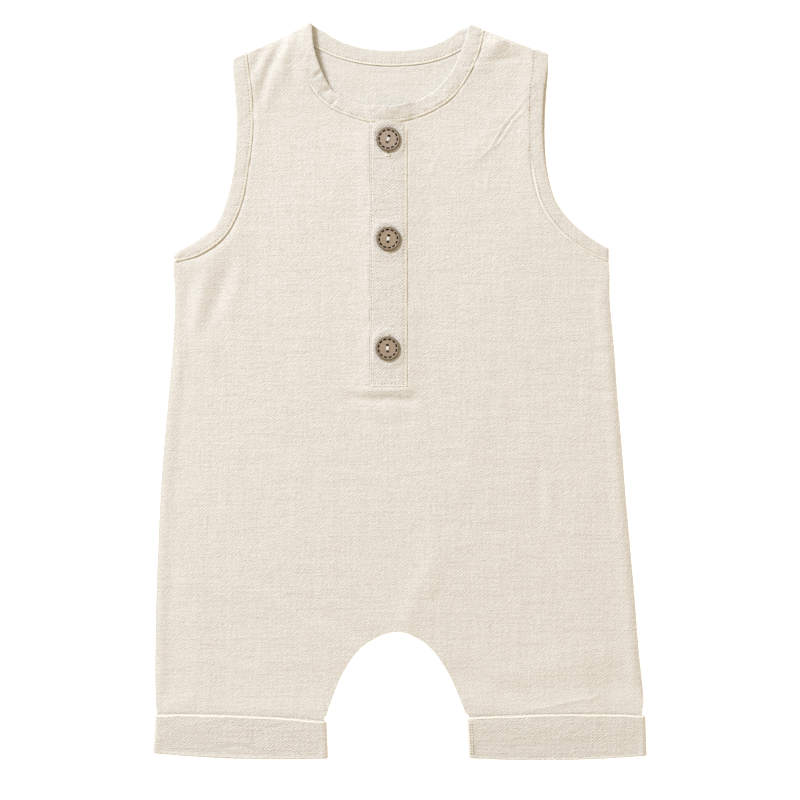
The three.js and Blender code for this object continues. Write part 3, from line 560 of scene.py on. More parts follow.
STEP = 0.8  # stations along a strip
LAP = 1.7  # how far a panel runs in under a strip
NECK = {
    "left": smooth_line(NECK_LEFT + [neck_fold("left")], STEP),
    "back": smooth_line([neck_fold("left")] + NECK_BACK + [neck_fold("right")], STEP),
    "right": smooth_line([neck_fold("right")] + NECK_RIGHT, STEP),
}
ARMS = {
    side: {
        "front": smooth_line(arm_rows(side, True), STEP),
        "back": smooth_line(arm_rows(side, False), STEP),
    }
    for side in ("left", "right")
}


def seam_line(stations, inward=0.0):
    """A strip's seam in plan, moved towards its free edge."""
    across = stations[:, :2] - stations[:, 2:4]
    across /= np.linalg.norm(across, axis=1, keepdims=True)
    return stations[:, 2:4] + across * inward


# Meshes


def new_object(name, mesh, materials, sharp=40):
    mesh.validate()
    for polygon in mesh.polygons:
        polygon.use_smooth = True
    mesh.set_sharp_from_angle(angle=math.radians(sharp))
    made = bpy.data.objects.new(name, mesh)
    for material in materials:
        mesh.materials.append(material)
    bpy.context.scene.collection.objects.link(made)
    return made


def raised_corner(points):
    """The left corner of the neck stands a little higher than its fold."""
    points = np.array(points, float)
    near = np.exp(-(((points[:, 0] + 57.0) / 5.5) ** 2) - ((points[:, 1] - 227.0) / 9.0) ** 2)
    points[:, 1] += 2.2 * near
    return points


def mesh_of(name, points, faces):
    mesh = bpy.data.meshes.new(name)
    corners = [tuple(int(i) for i in face) for face in faces]
    mesh.from_pydata([tuple(p) for p in raised_corner(points) * MM], [], corners)
    mesh.update()
    return mesh


def marked(mesh, numbers):
    """Gives the numbered faces the second material, the paler one of sewn folds, whose colour is a painted
    highlight.
    """
    index = np.zeros(len(mesh.polygons), int)
    index[np.ravel(numbers)] = 1
    mesh.polygons.foreach_set("material_index", index)
    return mesh


def facing_out(mesh):
    """Turns a closed mesh's faces outwards and joins points that coincide."""
    work = bmesh.new()
    work.from_mesh(mesh)
    bmesh.ops.remove_doubles(work, verts=work.verts, dist=1e-6)
    bmesh.ops.recalc_face_normals(work, faces=work.faces)
    if work.calc_volume(signed=True) < 0:
        bmesh.ops.reverse_faces(work, faces=work.faces)
    work.to_mesh(mesh)
    work.free()
    return mesh


def crossing(a, b):
    """Where line a first crosses line b: the place on each, counted in segments, and the point."""
    for i in range(len(a) - 1):
        p, r = a[i], a[i + 1] - a[i]
        q, s = b[:-1], np.diff(b, axis=0)
        cross = r[0] * s[:, 1] - r[1] * s[:, 0]
        cross = np.where(np.abs(cross) < 1e-12, 1e-12, cross)
        t = ((q[:, 0] - p[0]) * s[:, 1] - (q[:, 1] - p[1]) * s[:, 0]) / cross
        u = ((q[:, 0] - p[0]) * r[1] - (q[:, 1] - p[1]) * r[0]) / cross
        hit = np.nonzero((t >= 0) & (t <= 1) & (u >= 0) & (u <= 1))[0]
        if len(hit):
            j = hit[0]
            return i + t[j], j + u[j], p + r * t[j]
    raise RuntimeError("two outline lines of a panel don't cross")


def closed_outline(lines):
    """One loop from lines that each cross the next."""
    count = len(lines)
    meets = [crossing(lines[k], lines[(k + 1) % count]) for k in range(count)]
    loop = []
    for k, line in enumerate(lines):
        start, end = meets[k - 1][1], meets[k][0]
        if start > end:
            raise RuntimeError(f"outline line {k} runs the wrong way")
        loop.append(meets[k - 1][2])
        loop.extend(line[i] for i in range(math.ceil(start + 0.05), math.floor(end - 0.05) + 1))
    return np.array(loop)


def filled(outline, spacing, extra=()):
    """Points and triangles that fill an outline in plan, with rows of extra points."""
    low, high = outline.min(axis=0), outline.max(axis=0)
    rows = np.arange(low[1], high[1], spacing * math.sqrt(0.75))
    grid = []
    for k, y in enumerate(rows):
        xs = np.arange(low[0] + (k % 2) * spacing / 2, high[0], spacing)
        grid.append(np.column_stack([xs, np.full(len(xs), y)]))
    points = np.concatenate(grid)
    loop = np.vstack([outline, outline[:1]])
    points = points[away_from(points[:, 0], points[:, 1], loop) > spacing * 0.45]
    if len(extra):
        added = np.concatenate(extra)
        added = added[away_from(added[:, 0], added[:, 1], loop) > 0.25]
        keys = {(round(p[0] / spacing), round(p[1] / spacing)) for p in added}
        keep = [(round(p[0] / spacing), round(p[1] / spacing)) not in keys for p in points]
        points = np.vstack([points[keep], added])
    points = points[inside_loop(points, outline)]
    every = np.vstack([outline, points])
    count = len(outline)
    edges = [(i, (i + 1) % count) for i in range(count)]
    face = [list(range(count))]
    verts, _, faces, _, _, _ = delaunay_2d_cdt([Vector(p) for p in every], edges, face, 1, 1e-5)
    return np.array([tuple(v) for v in verts]), [tuple(f) for f in faces]


def inside_loop(points, loop):
    """Which points lie inside a closed outline."""
    x, y = points[:, 0], points[:, 1]
    inside = np.zeros(len(points), bool)
    a = loop
    b = np.roll(loop, -1, axis=0)
    for (x0, y0), (x1, y1) in zip(a, b):
        if y0 == y1:
            continue
        spans = (y0 > y) != (y1 > y)
        inside ^= spans & (x < (x1 - x0) * (y - y0) / (y1 - y0) + x0)
    return inside


def rim_edges(faces):
    """Edges with a face on one side only, in the direction of that face."""
    seen = {}
    for face in faces:
        for a, b in zip(face, face[1:] + face[:1]):
            seen[(a, b)] = True
    return [e for e in seen if (e[1], e[0]) not in seen]


def shell(plan, faces, top, wall):
    """Points and faces of a closed sheet: a top face at the given heights and a wall below it."""
    above = np.column_stack([plan, top])
    below = np.column_stack([plan, top - wall])
    count = len(plan)
    under = [tuple(i + count for i in reversed(f)) for f in faces]
    sides = [(b, a, a + count, b + count) for a, b in rim_edges(faces)]
    return np.vstack([above, below]), list(faces) + under + sides


def beside(line, offsets, step=1.2):
    """Rows of points along a line in plan, at offsets to either side."""
    line = evenly(np.asarray(line, float), step)
    return [moved(line, d) for d in offsets]


def loft(loops, ring):
    """Points and faces of a tube through equal loops, closed on itself or capped."""
    loops = np.asarray(loops)
    count, size, _ = loops.shape
    faces = []
    for i in range(count if ring else count - 1):
        n = (i + 1) % count
        for j in range(size):
            k = (j + 1) % size
            faces.append((i * size + j, i * size + k, n * size + k, n * size + j))
    if not ring:
        faces.append(tuple(reversed(range(size))))
        faces.append(tuple(range((count - 1) * size, count * size)))
    return loops.reshape(-1, 3), faces


# Strips


def strip_section(width, slot_low, slot_high, ridge):
    """A folded strip's section, open at the seam where the panel runs in.
    Rows of distance from the free edge and height above the inner face."""
    w, top = width, BOUND
    inner = [
        (w, slot_low - 0.12),
        (w - 0.05, 0.1),
        (w - 0.3, 0.0),
        (w - 0.8, -0.16 * ridge),
        (w - 1.3, 0.02),
        (w - 1.7, 0.14),
        (w - 2.1, 0.08),
        (w - 2.7, 0.0),
        (w * 0.6, 0.0),
        (w * 0.45, -0.02),
        (w * 0.3, 0.0),
        (w * 0.18, 0.04),
        (0.7, 0.1),
        (0.3, 0.26),
        (0.08, 0.5),
    ]
    outer = [
        (0.0, 0.8),
        (0.08, 1.1),
        (0.3, 1.36),
        (0.7, top - 0.08),
        (w * 0.18, top - 0.02),
        (w * 0.3, top + 0.03),
        (w * 0.45, top + 0.05),
        (w * 0.6, top + 0.04),
        (w - 3.0, top + 0.02),
        (w - 2.4, top - 0.02 * ridge),
        (w - 1.9, top - 0.11 * ridge),
        (w - 1.45, top - 0.04 * ridge),
        (w - 1.0, top + 0.14 * ridge),
        (w - 0.6, top + 0.2 * ridge),
        (w - 0.25, top + 0.05 * ridge),
        (w - 0.05, top - 0.25 * ridge),
        (w, blend(top - 0.02, slot_high + 0.12, ridge)),
    ]
    slot = [
        (w - 0.15, slot_high),
        (w - LAP - 0.25, slot_high),
        (w - LAP - 0.35, (slot_low + slot_high) / 2),
        (w - LAP - 0.25, slot_low),
        (w - 0.15, slot_low),
    ]
    return np.array(inner + outer + slot)


SLOT_FRONT = (0.28, 1.06)
SLOT_BACK = (0.5, 1.32)
SECTION_INNER = 15
SECTION_OUTER = 17
SECTION_GROOVE = SECTION_INNER + 10
SECTION_GROOVE_INSIDE = 5
SECTION_SEAM = SECTION_INNER + 15
SECTION_FOLD = slice(SECTION_INNER + 13, SECTION_INNER + 15)
SECTION_FOLD_INSIDE = slice(1, 3)
TOP_ROWS = slice(SECTION_INNER, SECTION_INNER + SECTION_OUTER)


def face_numbers(loops):
    """The numbers of a loft's side faces, a row for each loop."""
    return np.arange(len(loops) * len(loops[0])).reshape(len(loops), -1)


def at_station(row, slot, ridge=1.0):
    """A strip's section at a station: its width, then for each point of the section the distance from
    the free edge, the height, and x and y."""
    edge, seam = row[:2], row[2:4]
    width = np.linalg.norm(seam - edge)
    across = (seam - edge) / width
    section = strip_section(width, *slot, ridge)
    c, h = section[:, 0], section[:, 1]
    return width, c, h, edge[0] + across[0] * c, edge[1] + across[1] * c


def pucker(across, along, width, seed, strong=1.0):
    """Small uneven puckers of a strip, slanting and strongest beside its stitching."""
    hold = np.exp(-(((across - (width - 2.6)) / 4.0) ** 2))
    small = 0.2 * rumple(along + across * 0.8, across * 0.35, 3.2, seed) * hold
    long = 0.16 * rumple(along - across * 0.9, across * 0.3, 5.5, seed + 1)
    return strong * (small + long)


def lip(x, y, share_in):
    """The left stretch of the neck strip stands up at its free edge."""
    return 1.4 * (1 - share_in) ** 1.3 * ease(y, 186, 203)


def front_loops(stations, base, seed, ridge=None, stand=None, strong=1.0):
    """Loops of a strip's sections on the front; base gives the inner face's height at a point."""
    loops = []
    for i, row in enumerate(stations):
        width, c, h, x, y = at_station(row, SLOT_FRONT, 1.0 if ridge is None else ridge[i])
        z = base(x, y) + h
        if stand:
            z = z + stand(x, y, clamp01(c / width))
        on_top = np.zeros(len(c))
        on_top[TOP_ROWS] = np.clip(c[TOP_ROWS] / 1.5, 0, 1)
        fine = pucker(c, np.full(len(c), i * STEP), width, seed, strong) + creases(x, y, CREASES)
        z = z + on_top * np.maximum(fine, -1.0)
        loops.append(np.column_stack([x, y, z]))
    return loops


def back_loops(stations, seed):
    """The same on the back, whose outer face lies on the resting surface."""
    loops = []
    for i, row in enumerate(stations):
        width, c, h, x, y = at_station(row, SLOT_BACK)
        inner = np.zeros(len(c))
        inner[:SECTION_INNER] = np.clip(c[:SECTION_INNER] / 1.5, 0, 1)
        fine = pucker(c, np.full(len(c), i * STEP), width, seed) * 0.8
        loops.append(np.column_stack([x, y, BOUND - np.minimum(h, BOUND) + inner * fine]))
    return loops


def turn_loops(origin, along, out, level, edge_at, seam_at, ridge=1.0, turns=14):
    """Loops of a strip where it turns over a fold, from the back up to the front."""
    width = abs(seam_at - edge_at)
    sign = np.sign(seam_at - edge_at)
    radius = (level - BOUND) / 2
    loops = []
    for k in range(1, turns):
        share = k / turns
        angle = math.pi * (share - 0.5)
        low, high = (blend(a, b, share) for a, b in zip(SLOT_BACK, SLOT_FRONT))
        section = strip_section(width, low, high, ridge)
        c, h = section[:, 0], np.minimum(section[:, 1], BOUND)
        flat = origin + np.outer(edge_at + sign * c, along) - out * (radius + BOUND)
        reach = radius + h
        x = flat[:, 0] + out[0] * math.cos(angle) * reach
        y = flat[:, 1] + out[1] * math.cos(angle) * reach
        loops.append(np.column_stack([x, y, radius + BOUND + math.sin(angle) * reach]))
    return loops


def shoulder_turn(side, edge_at, seam_at, ridge=1.0):
    neck, along, out, _ = shoulder_frame(side)
    return turn_loops(neck, along, out, SHOULDER_LEVEL, edge_at, seam_at, ridge)


# Levels of the panels where they run in under the strips


def neck_seam_front():
    """The neck seam on the front side, from the right shoulder round to the left one."""
    left = NECK["left"][:, 2:4]
    return np.vstack([NECK["right"][:, 2:4], left[left[:, 0] < NECK["right"][-1, 2]]])


SEAMS_FRONT = {
    "neck": neck_seam_front()[::3],
    "left": ARMS["left"]["front"][::3, 2:4],
    "right": ARMS["right"]["front"][::3, 2:4],
}
SEAMS_BACK = {
    "neck": NECK["back"][::3, 2:4],
    "left": ARMS["left"]["back"][::3, 2:4],
    "right": ARMS["right"]["back"][::3, 2:4],
}
# Seams that lie level with the panel: the neck's on the left shoulder, the right armhole's at the top
FLUSH = {
    "neck": [(-57.2, 194.5), (-60.5, 204.0), (-63.5, 215.0)],
    "armhole": [(80.3, 158.0), (80.5, 172.0), (81.0, 186.0), (82.5, 201.0)],
}


def seam_sides(x, y):
    """Distances to the front's three bound seams, positive on the panel's side."""
    return (
        distance_to(x, y, SEAMS_FRONT["neck"])[0],
        -distance_to(x, y, SEAMS_FRONT["left"])[0],
        distance_to(x, y, SEAMS_FRONT["right"])[0],
    )


def round_placket(x, y):
    """How far a point lies outside the placket's upper strip."""
    past_side = np.maximum(np.maximum(FREE_EDGE - x, x - PLACKET["right"]), 0)
    return np.hypot(past_side, np.maximum(PLACKET["bottom"] - y, 0))


def front_top(x, y):
    """The front's upper face, with its rumples, as it runs in under the strips and down at the sides."""
    level = front_level(x, y) + CLOTH
    neck_out, *arms_out = seam_sides(x, y)
    nearest = np.minimum.reduce([neck_out, *arms_out])
    neck_away, away = np.abs(neck_out), np.abs(nearest)
    z = level + front_rumples(x, y) * blend(0.25, 1.0, ease(away, 0.5, 5))
    z = z + lap_raise(x) * (1 - ease(neck_away, 1.0, 8)) * ease(x, -3, 2)
    z = np.where(nearest < 0, np.minimum(z, level + lap_raise(x) * ease(x, -3, 2)), z)
    # The panel swells a little up to the strips sewn on it, and lies level with them where no seam shows
    level_here = np.maximum.reduce([1 - ease(away_from(x, y, line), 1.0, 9.0) for line in FLUSH.values()])
    deep = 0.52 + 0.4 * ease(-x, 12, 22) * (1 - ease(neck_away, 1, 3)) * (1 - ease(y, 189, 192))
    crevice = deep * np.exp(-(((away - 0.25) / 0.4) ** 2)) * (1 - ease(level_here, 0.0, 0.5))
    swell = 0.3 * np.exp(-((away / 5.0) ** 2)) + (BOUND - CLOTH - 0.3) * level_here
    z = z + (swell - crevice) * (nearest > 0.02)
    off = round_placket(x, y)
    z = z + 0.7 * np.exp(-((off / 7.0) ** 2)) * (off > 0.08) * ease(neck_away, 1.0, 8.0)
    inside = in_from_side(x, y)
    at_side = ease(y, -196, -185) * (1 - ease(y, 66, 78))
    # A hollow just above each cuff's edge
    from_hollow = [np.abs(y - rim_at(cuff[2], cuff_share(cuff, x)) - 0.35) for cuff in CUFFS.values()]
    z = z - 0.4 * np.exp(-((np.minimum.reduce(from_hollow) / 0.4) ** 2))
    return z - blend(0.15, 0.6, ease(x, -20, 20)) * at_side * (1 - ease(inside, 0.0, 2.0)) ** 1.5


def back_top(x, y):
    """The back's upper face, which is the inside of the garment."""
    away = np.minimum.reduce([away_from(x, y, line) for line in SEAMS_BACK.values()])
    z = back_level(x, y) + SKIN + 0.36 * (1 - ease(away, 1.5, 6)) - 0.4 * np.exp(-(((away - 0.3) / 0.4) ** 2))
    calm = ease(away, 2, 8) * ease(y, -190, -170)
    lift = 0.25 + 0.16 * rumple(x, y, 18, 21) + 0.05 * rumple(x, y, 7, 22)
    return z + calm * (lift + creases(x, y, BACK_CREASES)) * ease(y, 150, 170)


# Sewing

THREAD = 0.16
HOLE_SHADE_WIDTH = 0.4


def capsule(sides=6):
    """A stitch lying along X from -1 to 1, with its ends turned down. Points and faces."""
    half = [(-1.0, 0.35, -1.6), (-0.86, 0.85, -0.55), (-0.45, 1.0, 0.0)]
    rings = half + [(-x, r, z) for x, r, z in reversed(half)]
    points, faces = [], []
    for x, r, z in rings:
        for k in range(sides):
            angle = 2 * math.pi * k / sides
            points.append((x, r * math.cos(angle), r * math.sin(angle) + z))
    for i in range(len(rings) - 1):
        for k in range(sides):
            n = (k + 1) % sides
            faces.append((i * sides + k, i * sides + n, (i + 1) * sides + n, (i + 1) * sides + k))
    faces.append(tuple(reversed(range(sides))))
    faces.append(tuple(range((len(rings) - 1) * sides, len(rings) * sides)))
    return np.array(points), faces


def laid_along(shape, middle, way, side, up, sizes):
    """A unit shape set at a place: sizes along the way, to the side and up."""
    return middle + (shape * np.array(sizes)) @ np.array([way, side, up])


def stitches_on(line, ups, pitch, length, seed=1, radius=THREAD):
    """A row of stitches along a line, given with the directions that face out of the cloth.
    Gives the stitches and, between them, flat lenses that carry the painted shade of the needle holes, each
    as points and faces."""
    stitch, stitch_faces = capsule()
    hole, hole_faces = shade_lens()
    along = run_of(line)
    random = np.random.default_rng(seed)
    threads, holes = [], []
    for place in np.arange(pitch * 0.7, along[-1] - pitch * 0.5, pitch):
        place = place + random.uniform(-0.07, 0.07) * pitch
        middle = at_run(line, along, place)
        ahead = at_run(line, along, place + pitch / 2)
        up = at_run(ups, along, place)
        way = (ahead - middle) / np.linalg.norm(ahead - middle)
        up = up - way * (up @ way)
        up /= np.linalg.norm(up)
        side = np.cross(up, way)
        way = way + side * random.uniform(-0.08, 0.08)
        half = length / 2 * random.uniform(0.92, 1.06)
        threads.append((laid_along(stitch, middle, way, side, up, (half, radius, radius)), stitch_faces))
        # A flat dark lens ahead of each stitch: the painted shade of its needle hole
        wide = HOLE_SHADE_WIDTH * random.uniform(0.8, 1.2)
        holes.append((laid_along(hole, ahead, way, side, up, (wide, wide * 0.8, 0.06)), hole_faces))
    return joined(threads), joined(holes)


def shade_lens(sides=8):
    """A small flat lens, which carries the painted shade of a needle hole: points and faces."""
    points = [(math.cos(a), math.sin(a), 0.0) for a in np.arange(sides) * 2 * math.pi / sides]
    points += [(0.0, 0.0, 1.0), (0.0, 0.0, -1.0)]
    faces = []
    for k in range(sides):
        n = (k + 1) % sides
        faces += [(k, n, sides), (n, k, sides + 1)]
    return np.array(points), faces


def sewn(name, rows, thread="thread"):
    """One piece of sewing from rows of stitches with the painted shade dots of their needle holes."""
    threads = joined([row[0] for row in rows])
    holes = [row[1] for row in rows if row[1]]
    points, faces = joined([threads] + holes)
    made = materials(bpy.context)
    mesh = mesh_of(name, points, faces)
    piece = new_object(name, mesh, [made[thread], made["needle_hole_shade"]], 80)
    index = np.zeros(len(faces), int)
    index[len(threads[1]) :] = 1
    mesh.polygons.foreach_set("material_index", index)
    return settle(piece, "cloth_trim")


def upward(count):
    """Directions straight up, one for each point of a line."""
    return np.tile([0.0, 0.0, 1.0], (count, 1))


def joined(parts):
    points, faces, base = [], [], 0
    for p, f in parts:
        points.append(p)
        faces.extend(tuple(i + base for i in face) for face in f)
        base += len(p)
    return np.vstack(points), faces


def groove_line(loops, place=SECTION_GROOVE, ridge=1.0):
    """The bottom of a strip's stitched groove as a line, with the directions that face out of it.
    Without a ridge the stitches run on the seam itself."""
    loops = np.asarray(loops)
    line = blend(loops[:, SECTION_SEAM], loops[:, place], np.reshape(ridge, (-1, 1)))
    across = loops[:, place + 1] - loops[:, place - 1]
    ups = np.cross(across, np.gradient(line, axis=0))
    ups *= np.sign(ups[:, 2:3]) / np.linalg.norm(ups, axis=1, keepdims=True)
    return line + ups * 0.04, ups


# Materials


def linear(code):
    """An sRGB hex colour as linear red, green, blue and alpha."""
    parts = [int(code[i : i + 2], 16) / 255 for i in (1, 3, 5)]
    return (*(c / 12.92 if c <= 0.04045 else ((c + 0.055) / 1.055) ** 2.4 for c in parts), 1.0)


def node(tree, kind, inputs=None, **settings):
    """Adds a node with its settings and its inputs, which are values or other nodes' outputs."""
    made = tree.nodes.new(kind)
    for name, value in settings.items():
        setattr(made, name, value)
    for name, value in (inputs or {}).items():
        if isinstance(value, bpy.types.NodeSocket):
            tree.links.new(value, made.inputs[name])
        else:
            made.inputs[name].default_value = value
    return made


def new_material(name, shader_inputs):
    material = bpy.data.materials.new(name)
    material.use_nodes = True
    tree = material.node_tree
    tree.nodes.clear()
    shader = node(tree, "ShaderNodeBsdfPrincipled", shader_inputs)
    node(tree, "ShaderNodeOutputMaterial", {"Surface": shader.outputs["BSDF"]})
    return material, tree, shader


def noise(tree, place, scale, detail, roughness=0.5):
    inputs = {"Vector": place, "Scale": scale, "Detail": detail, "Roughness": roughness}
    return node(tree, "ShaderNodeTexNoise", inputs).outputs["Fac"]


def turned(tree, place, degrees):
    """A place in the cloth's plane seen from axes that are turned by some degrees."""
    inputs = {"Vector": place, "Angle": -math.radians(degrees)}
    return node(tree, "ShaderNodeVectorRotate", inputs, rotation_type="Z_AXIS").outputs["Vector"]


def stretched_noise(tree, place, turn, long, wide, detail=2.0, offset=(0, 0, 0)):
    """Noise drawn out along one direction in the cloth's plane: turn in degrees, sizes in mm."""
    scale = (1 / long, 1 / wide, 1 / (2 * wide))
    inputs = {"Vector": turned(tree, place, turn), "Location": offset, "Scale": scale}
    scaled = node(tree, "ShaderNodeMapping", inputs)
    return noise(tree, scaled.outputs["Vector"], 1.0, detail, 0.55)


def ranged(tree, value, low, high, to_low=0.0, to_high=1.0):
    """A value carried from one range to another and held between its ends."""
    inputs = {"Value": value, "From Min": low, "From Max": high, "To Min": to_low, "To Max": to_high}
    return node(tree, "ShaderNodeMapRange", inputs).outputs["Result"]


def sum_of(tree, terms):
    """The weighted sum of some outputs."""
    total = None
    for value, weight in terms:
        if total is None:
            step = node(tree, "ShaderNodeMath", {0: value, 1: weight}, operation="MULTIPLY")
        else:
            step = node(tree, "ShaderNodeMath", {0: value, 1: weight, 2: total}, operation="MULTIPLY_ADD")
        total = step.outputs["Value"]
    return total


def colour_mix(tree, share, first, second, way="MIX"):
    """A mix of two colours. The node has several sockets of one name, so they are set by place."""
    made = node(tree, "ShaderNodeMix", data_type="RGBA", blend_type=way)
    for place, value in ((0, share), (6, first), (7, second)):
        if isinstance(value, bpy.types.NodeSocket):
            tree.links.new(value, made.inputs[place])
        else:
            made.inputs[place].default_value = value
    return made.outputs[2]


def raised(tree, shader, height, strength, distance):
    """Lets a height bend the light on a shader's surface."""
    bump = node(tree, "ShaderNodeBump", {"Height": height, "Strength": strength, "Distance": distance})
    tree.links.new(bump.outputs["Normal"], shader.inputs["Normal"])


def crepe_material(name, light, dark, slant, relief):
    """Slub crepe of cotton and linen, plain-woven from unevenly twisted yarn. The eye sees a matt cream
    cloth covered in short soft strokes, with a few longer and thicker threads across and along it."""
    look = {"Roughness": 0.93, "IOR": 1.45, "Specular IOR Level": 0.25, "Sheen Weight": 0.12}
    material, tree, shader = new_material(name, {**look, "Sheen Roughness": 0.6})
    coords = node(tree, "ShaderNodeTexCoord")
    in_mm = {"Vector": coords.outputs["Object"], "Scale": (1 / MM, 1 / MM, 1 / MM)}
    place = node(tree, "ShaderNodeMapping", in_mm).outputs["Vector"]
    # Crepe strokes: thin ridges that lean to the right and break off every few millimetres
    bands = {
        "Vector": turned(tree, place, slant - 90),
        "Scale": 2 * math.pi / 20 / STROKE_PITCH,
        "Distortion": 4.4,
        "Detail": 1.0,
        "Detail Scale": 1.6,
        "Detail Roughness": 0.5,
    }
    ridges = node(tree, "ShaderNodeTexWave", bands, wave_type="BANDS", bands_direction="X").outputs["Fac"]
    shown = ranged(tree, stretched_noise(tree, place, slant, 2.6, 1.3, 1.0, (13, 4, 8)), 0.38, 0.6, 0.15)
    strokes = node(tree, "ShaderNodeMath", {0: ridges, 1: shown}, operation="MULTIPLY").outputs["Value"]
    # Slubs: thick stretches of single threads, across and down
    weft = ranged(tree, stretched_noise(tree, place, 0.8, 9.0, 0.42, 0.5, (5, 77, 9)), 0.62, 0.74)
    warp = ranged(tree, stretched_noise(tree, place, 90.5, 9.0, 0.42, 0.5, (51, 17, 2)), 0.62, 0.74)
    # Threads lie about 0.5 mm apart, which is finer than a pixel, so this grain is drawn at 1 mm
    grain = noise(tree, place, 1.9, 1.0)
    # Long fine crinkles across and down, which the crepe yarn draws in
    across = stretched_noise(tree, place, 0.4, 24.0, 1.7, 1.0, (3, 8, 21))
    down = stretched_noise(tree, place, 90.3, 20.0, 1.9, 1.0, (31, 2, 6))
    # Weights of each of them in the height and in the colour
    parts = (strokes, weft, warp, grain, across, down)
    height = sum_of(tree, zip(parts, (1.25, 0.8, 0.4, 2.2, 2.2, 1.8)))
    relief_shade = sum_of(tree, zip(parts, (0.85, 0.5, 0.2, 1.1, 0.15, 0.1)))
    # On the rounded rims the strokes are pressed flat
    facing = node(tree, "ShaderNodeNewGeometry").outputs["Normal"]
    upward = node(tree, "ShaderNodeSeparateXYZ", {"Vector": facing}).outputs["Z"]
    level = node(tree, "ShaderNodeMath", {0: upward}, operation="ABSOLUTE").outputs["Value"]
    raised(tree, shader, height, ranged(tree, level, 0.35, 0.9), relief * MM)
    # Painted shade and highlight: the colour follows the strokes and slubs, darker in the hollows between
    # them and paler on the raised threads
    colour = colour_mix(tree, ranged(tree, relief_shade, 0.66, 1.26), linear(dark), linear(light))
    tree.links.new(colour, shader.inputs["Base Color"])
    return material


def fold_highlight_material(name, code):
    """The same cloth on a fold that is sewn down, drawn tight and pressed a little smoother. Its paler colour
    is a painted highlight: the thin bright line that the fold's ridge catches from the lamp."""
    return new_material(name, {"Base Color": linear(code), "Roughness": 0.85, "Specular IOR Level": 0.25})[0]


def thread_material(name, code):
    """Polyester-cotton sewing thread, twisted: slightly brighter and smoother than the cloth."""
    material, tree, shader = new_material(name, {"Roughness": 0.7, "IOR": 1.5, "Sheen Weight": 0.2})
    coords = node(tree, "ShaderNodeTexCoord")
    # The twist's real pitch is 0.3 mm, too fine to show, so it is drawn at 0.6 mm
    twist = noise(tree, coords.outputs["Object"], 1 / (0.6 * MM), 1.0)
    shade = ranged(tree, twist, 0.3, 0.7, 0.86)
    colour = colour_mix(tree, 1.0, linear(code), shade, "MULTIPLY")
    tree.links.new(colour, shader.inputs["Base Color"])
    raised(tree, shader, twist, 0.5, 0.1 * MM)
    return material


def hole_shade_material(name, code):
    """Painted shade of a needle hole: a warm dark colour on a flat lens laid over the cloth. It stands in for
    the shade deep in the hole, where the light that reaches it has passed through the threads, so that the
    eye sees small warm dots between the stitches."""
    return new_material(name, {"Base Color": linear(code), "Roughness": 1.0, "Specular IOR Level": 0.0})[0]


def wood_material(name, face, dark, rim):
    """Light hardwood, turned, sanded and waxed: close brown grain with a soft gloss, darker at the rim."""
    material, tree, shader = new_material(name, {"Roughness": 0.5, "IOR": 1.5, "Specular IOR Level": 0.4})
    local = node(tree, "ShaderNodeAttribute", attribute_name="button_place").outputs["Vector"]
    drawn_out = {"Vector": local, "Rotation": (0, 0, 0.6), "Scale": (0.35, 2.2, 1.0)}
    grain = noise(tree, node(tree, "ShaderNodeMapping", drawn_out).outputs["Vector"], 1.2, 4.0, 0.6)
    colour = colour_mix(tree, ranged(tree, grain, 0.32, 0.66), linear(dark), linear(face))
    # Outside 7 mm the rounded edge is coloured darker
    from_middle = node(tree, "ShaderNodeVectorMath", {0: local}, operation="LENGTH").outputs["Value"]
    edged = colour_mix(tree, ranged(tree, from_middle, 6.7, 7.2), colour, linear(rim))
    tree.links.new(edged, shader.inputs["Base Color"])
    raised(tree, shader, grain, 0.35, 0.08 * MM)
    return material


def burnt_and_hole_shade_material(name, code):
    """Wood charred by a hot tool: near black brown and dull. The same colour is painted on the walls of the
    button's holes as their shade.
    """
    material, tree, shader = new_material(name, {"Roughness": 0.95, "IOR": 1.5, "Specular IOR Level": 0.06})
    local = node(tree, "ShaderNodeAttribute", attribute_name="button_place").outputs["Vector"]
    colour = colour_mix(tree, noise(tree, local, 2.0, 2.0), linear("#0A0502"), linear(code))
    tree.links.new(colour, shader.inputs["Base Color"])
    return material


# Settings shown in the sidebar

LENGTH = {"subtype": "DISTANCE", "unit": "LENGTH", "precision": 5}
COLOUR_OF = "sRGB hex colour of "


class RomperSizes(bpy.types.PropertyGroup):
    mesh_step: bpy.props.FloatProperty(
        name="Mesh Step", description="Spacing of the front's points", default=1.9 * MM, min=1 * MM, **LENGTH
    )
    stitch_pitch: bpy.props.FloatProperty(
        name="Stitch Pitch",
        description="From one stitch to the next",
        default=2.05 * MM, min=0.5 * MM, **LENGTH,
    )
    stitch_length: bpy.props.FloatProperty(
        name="Stitch Length",
        description="Thread that shows in a stitch",
        default=1.45 * MM, min=0.3 * MM, **LENGTH,
    )
    relief: bpy.props.FloatProperty(
        name="Cloth Relief",
        description="Height of the strokes and slubs",
        default=0.125 * MM, min=0.0, **LENGTH,
    )


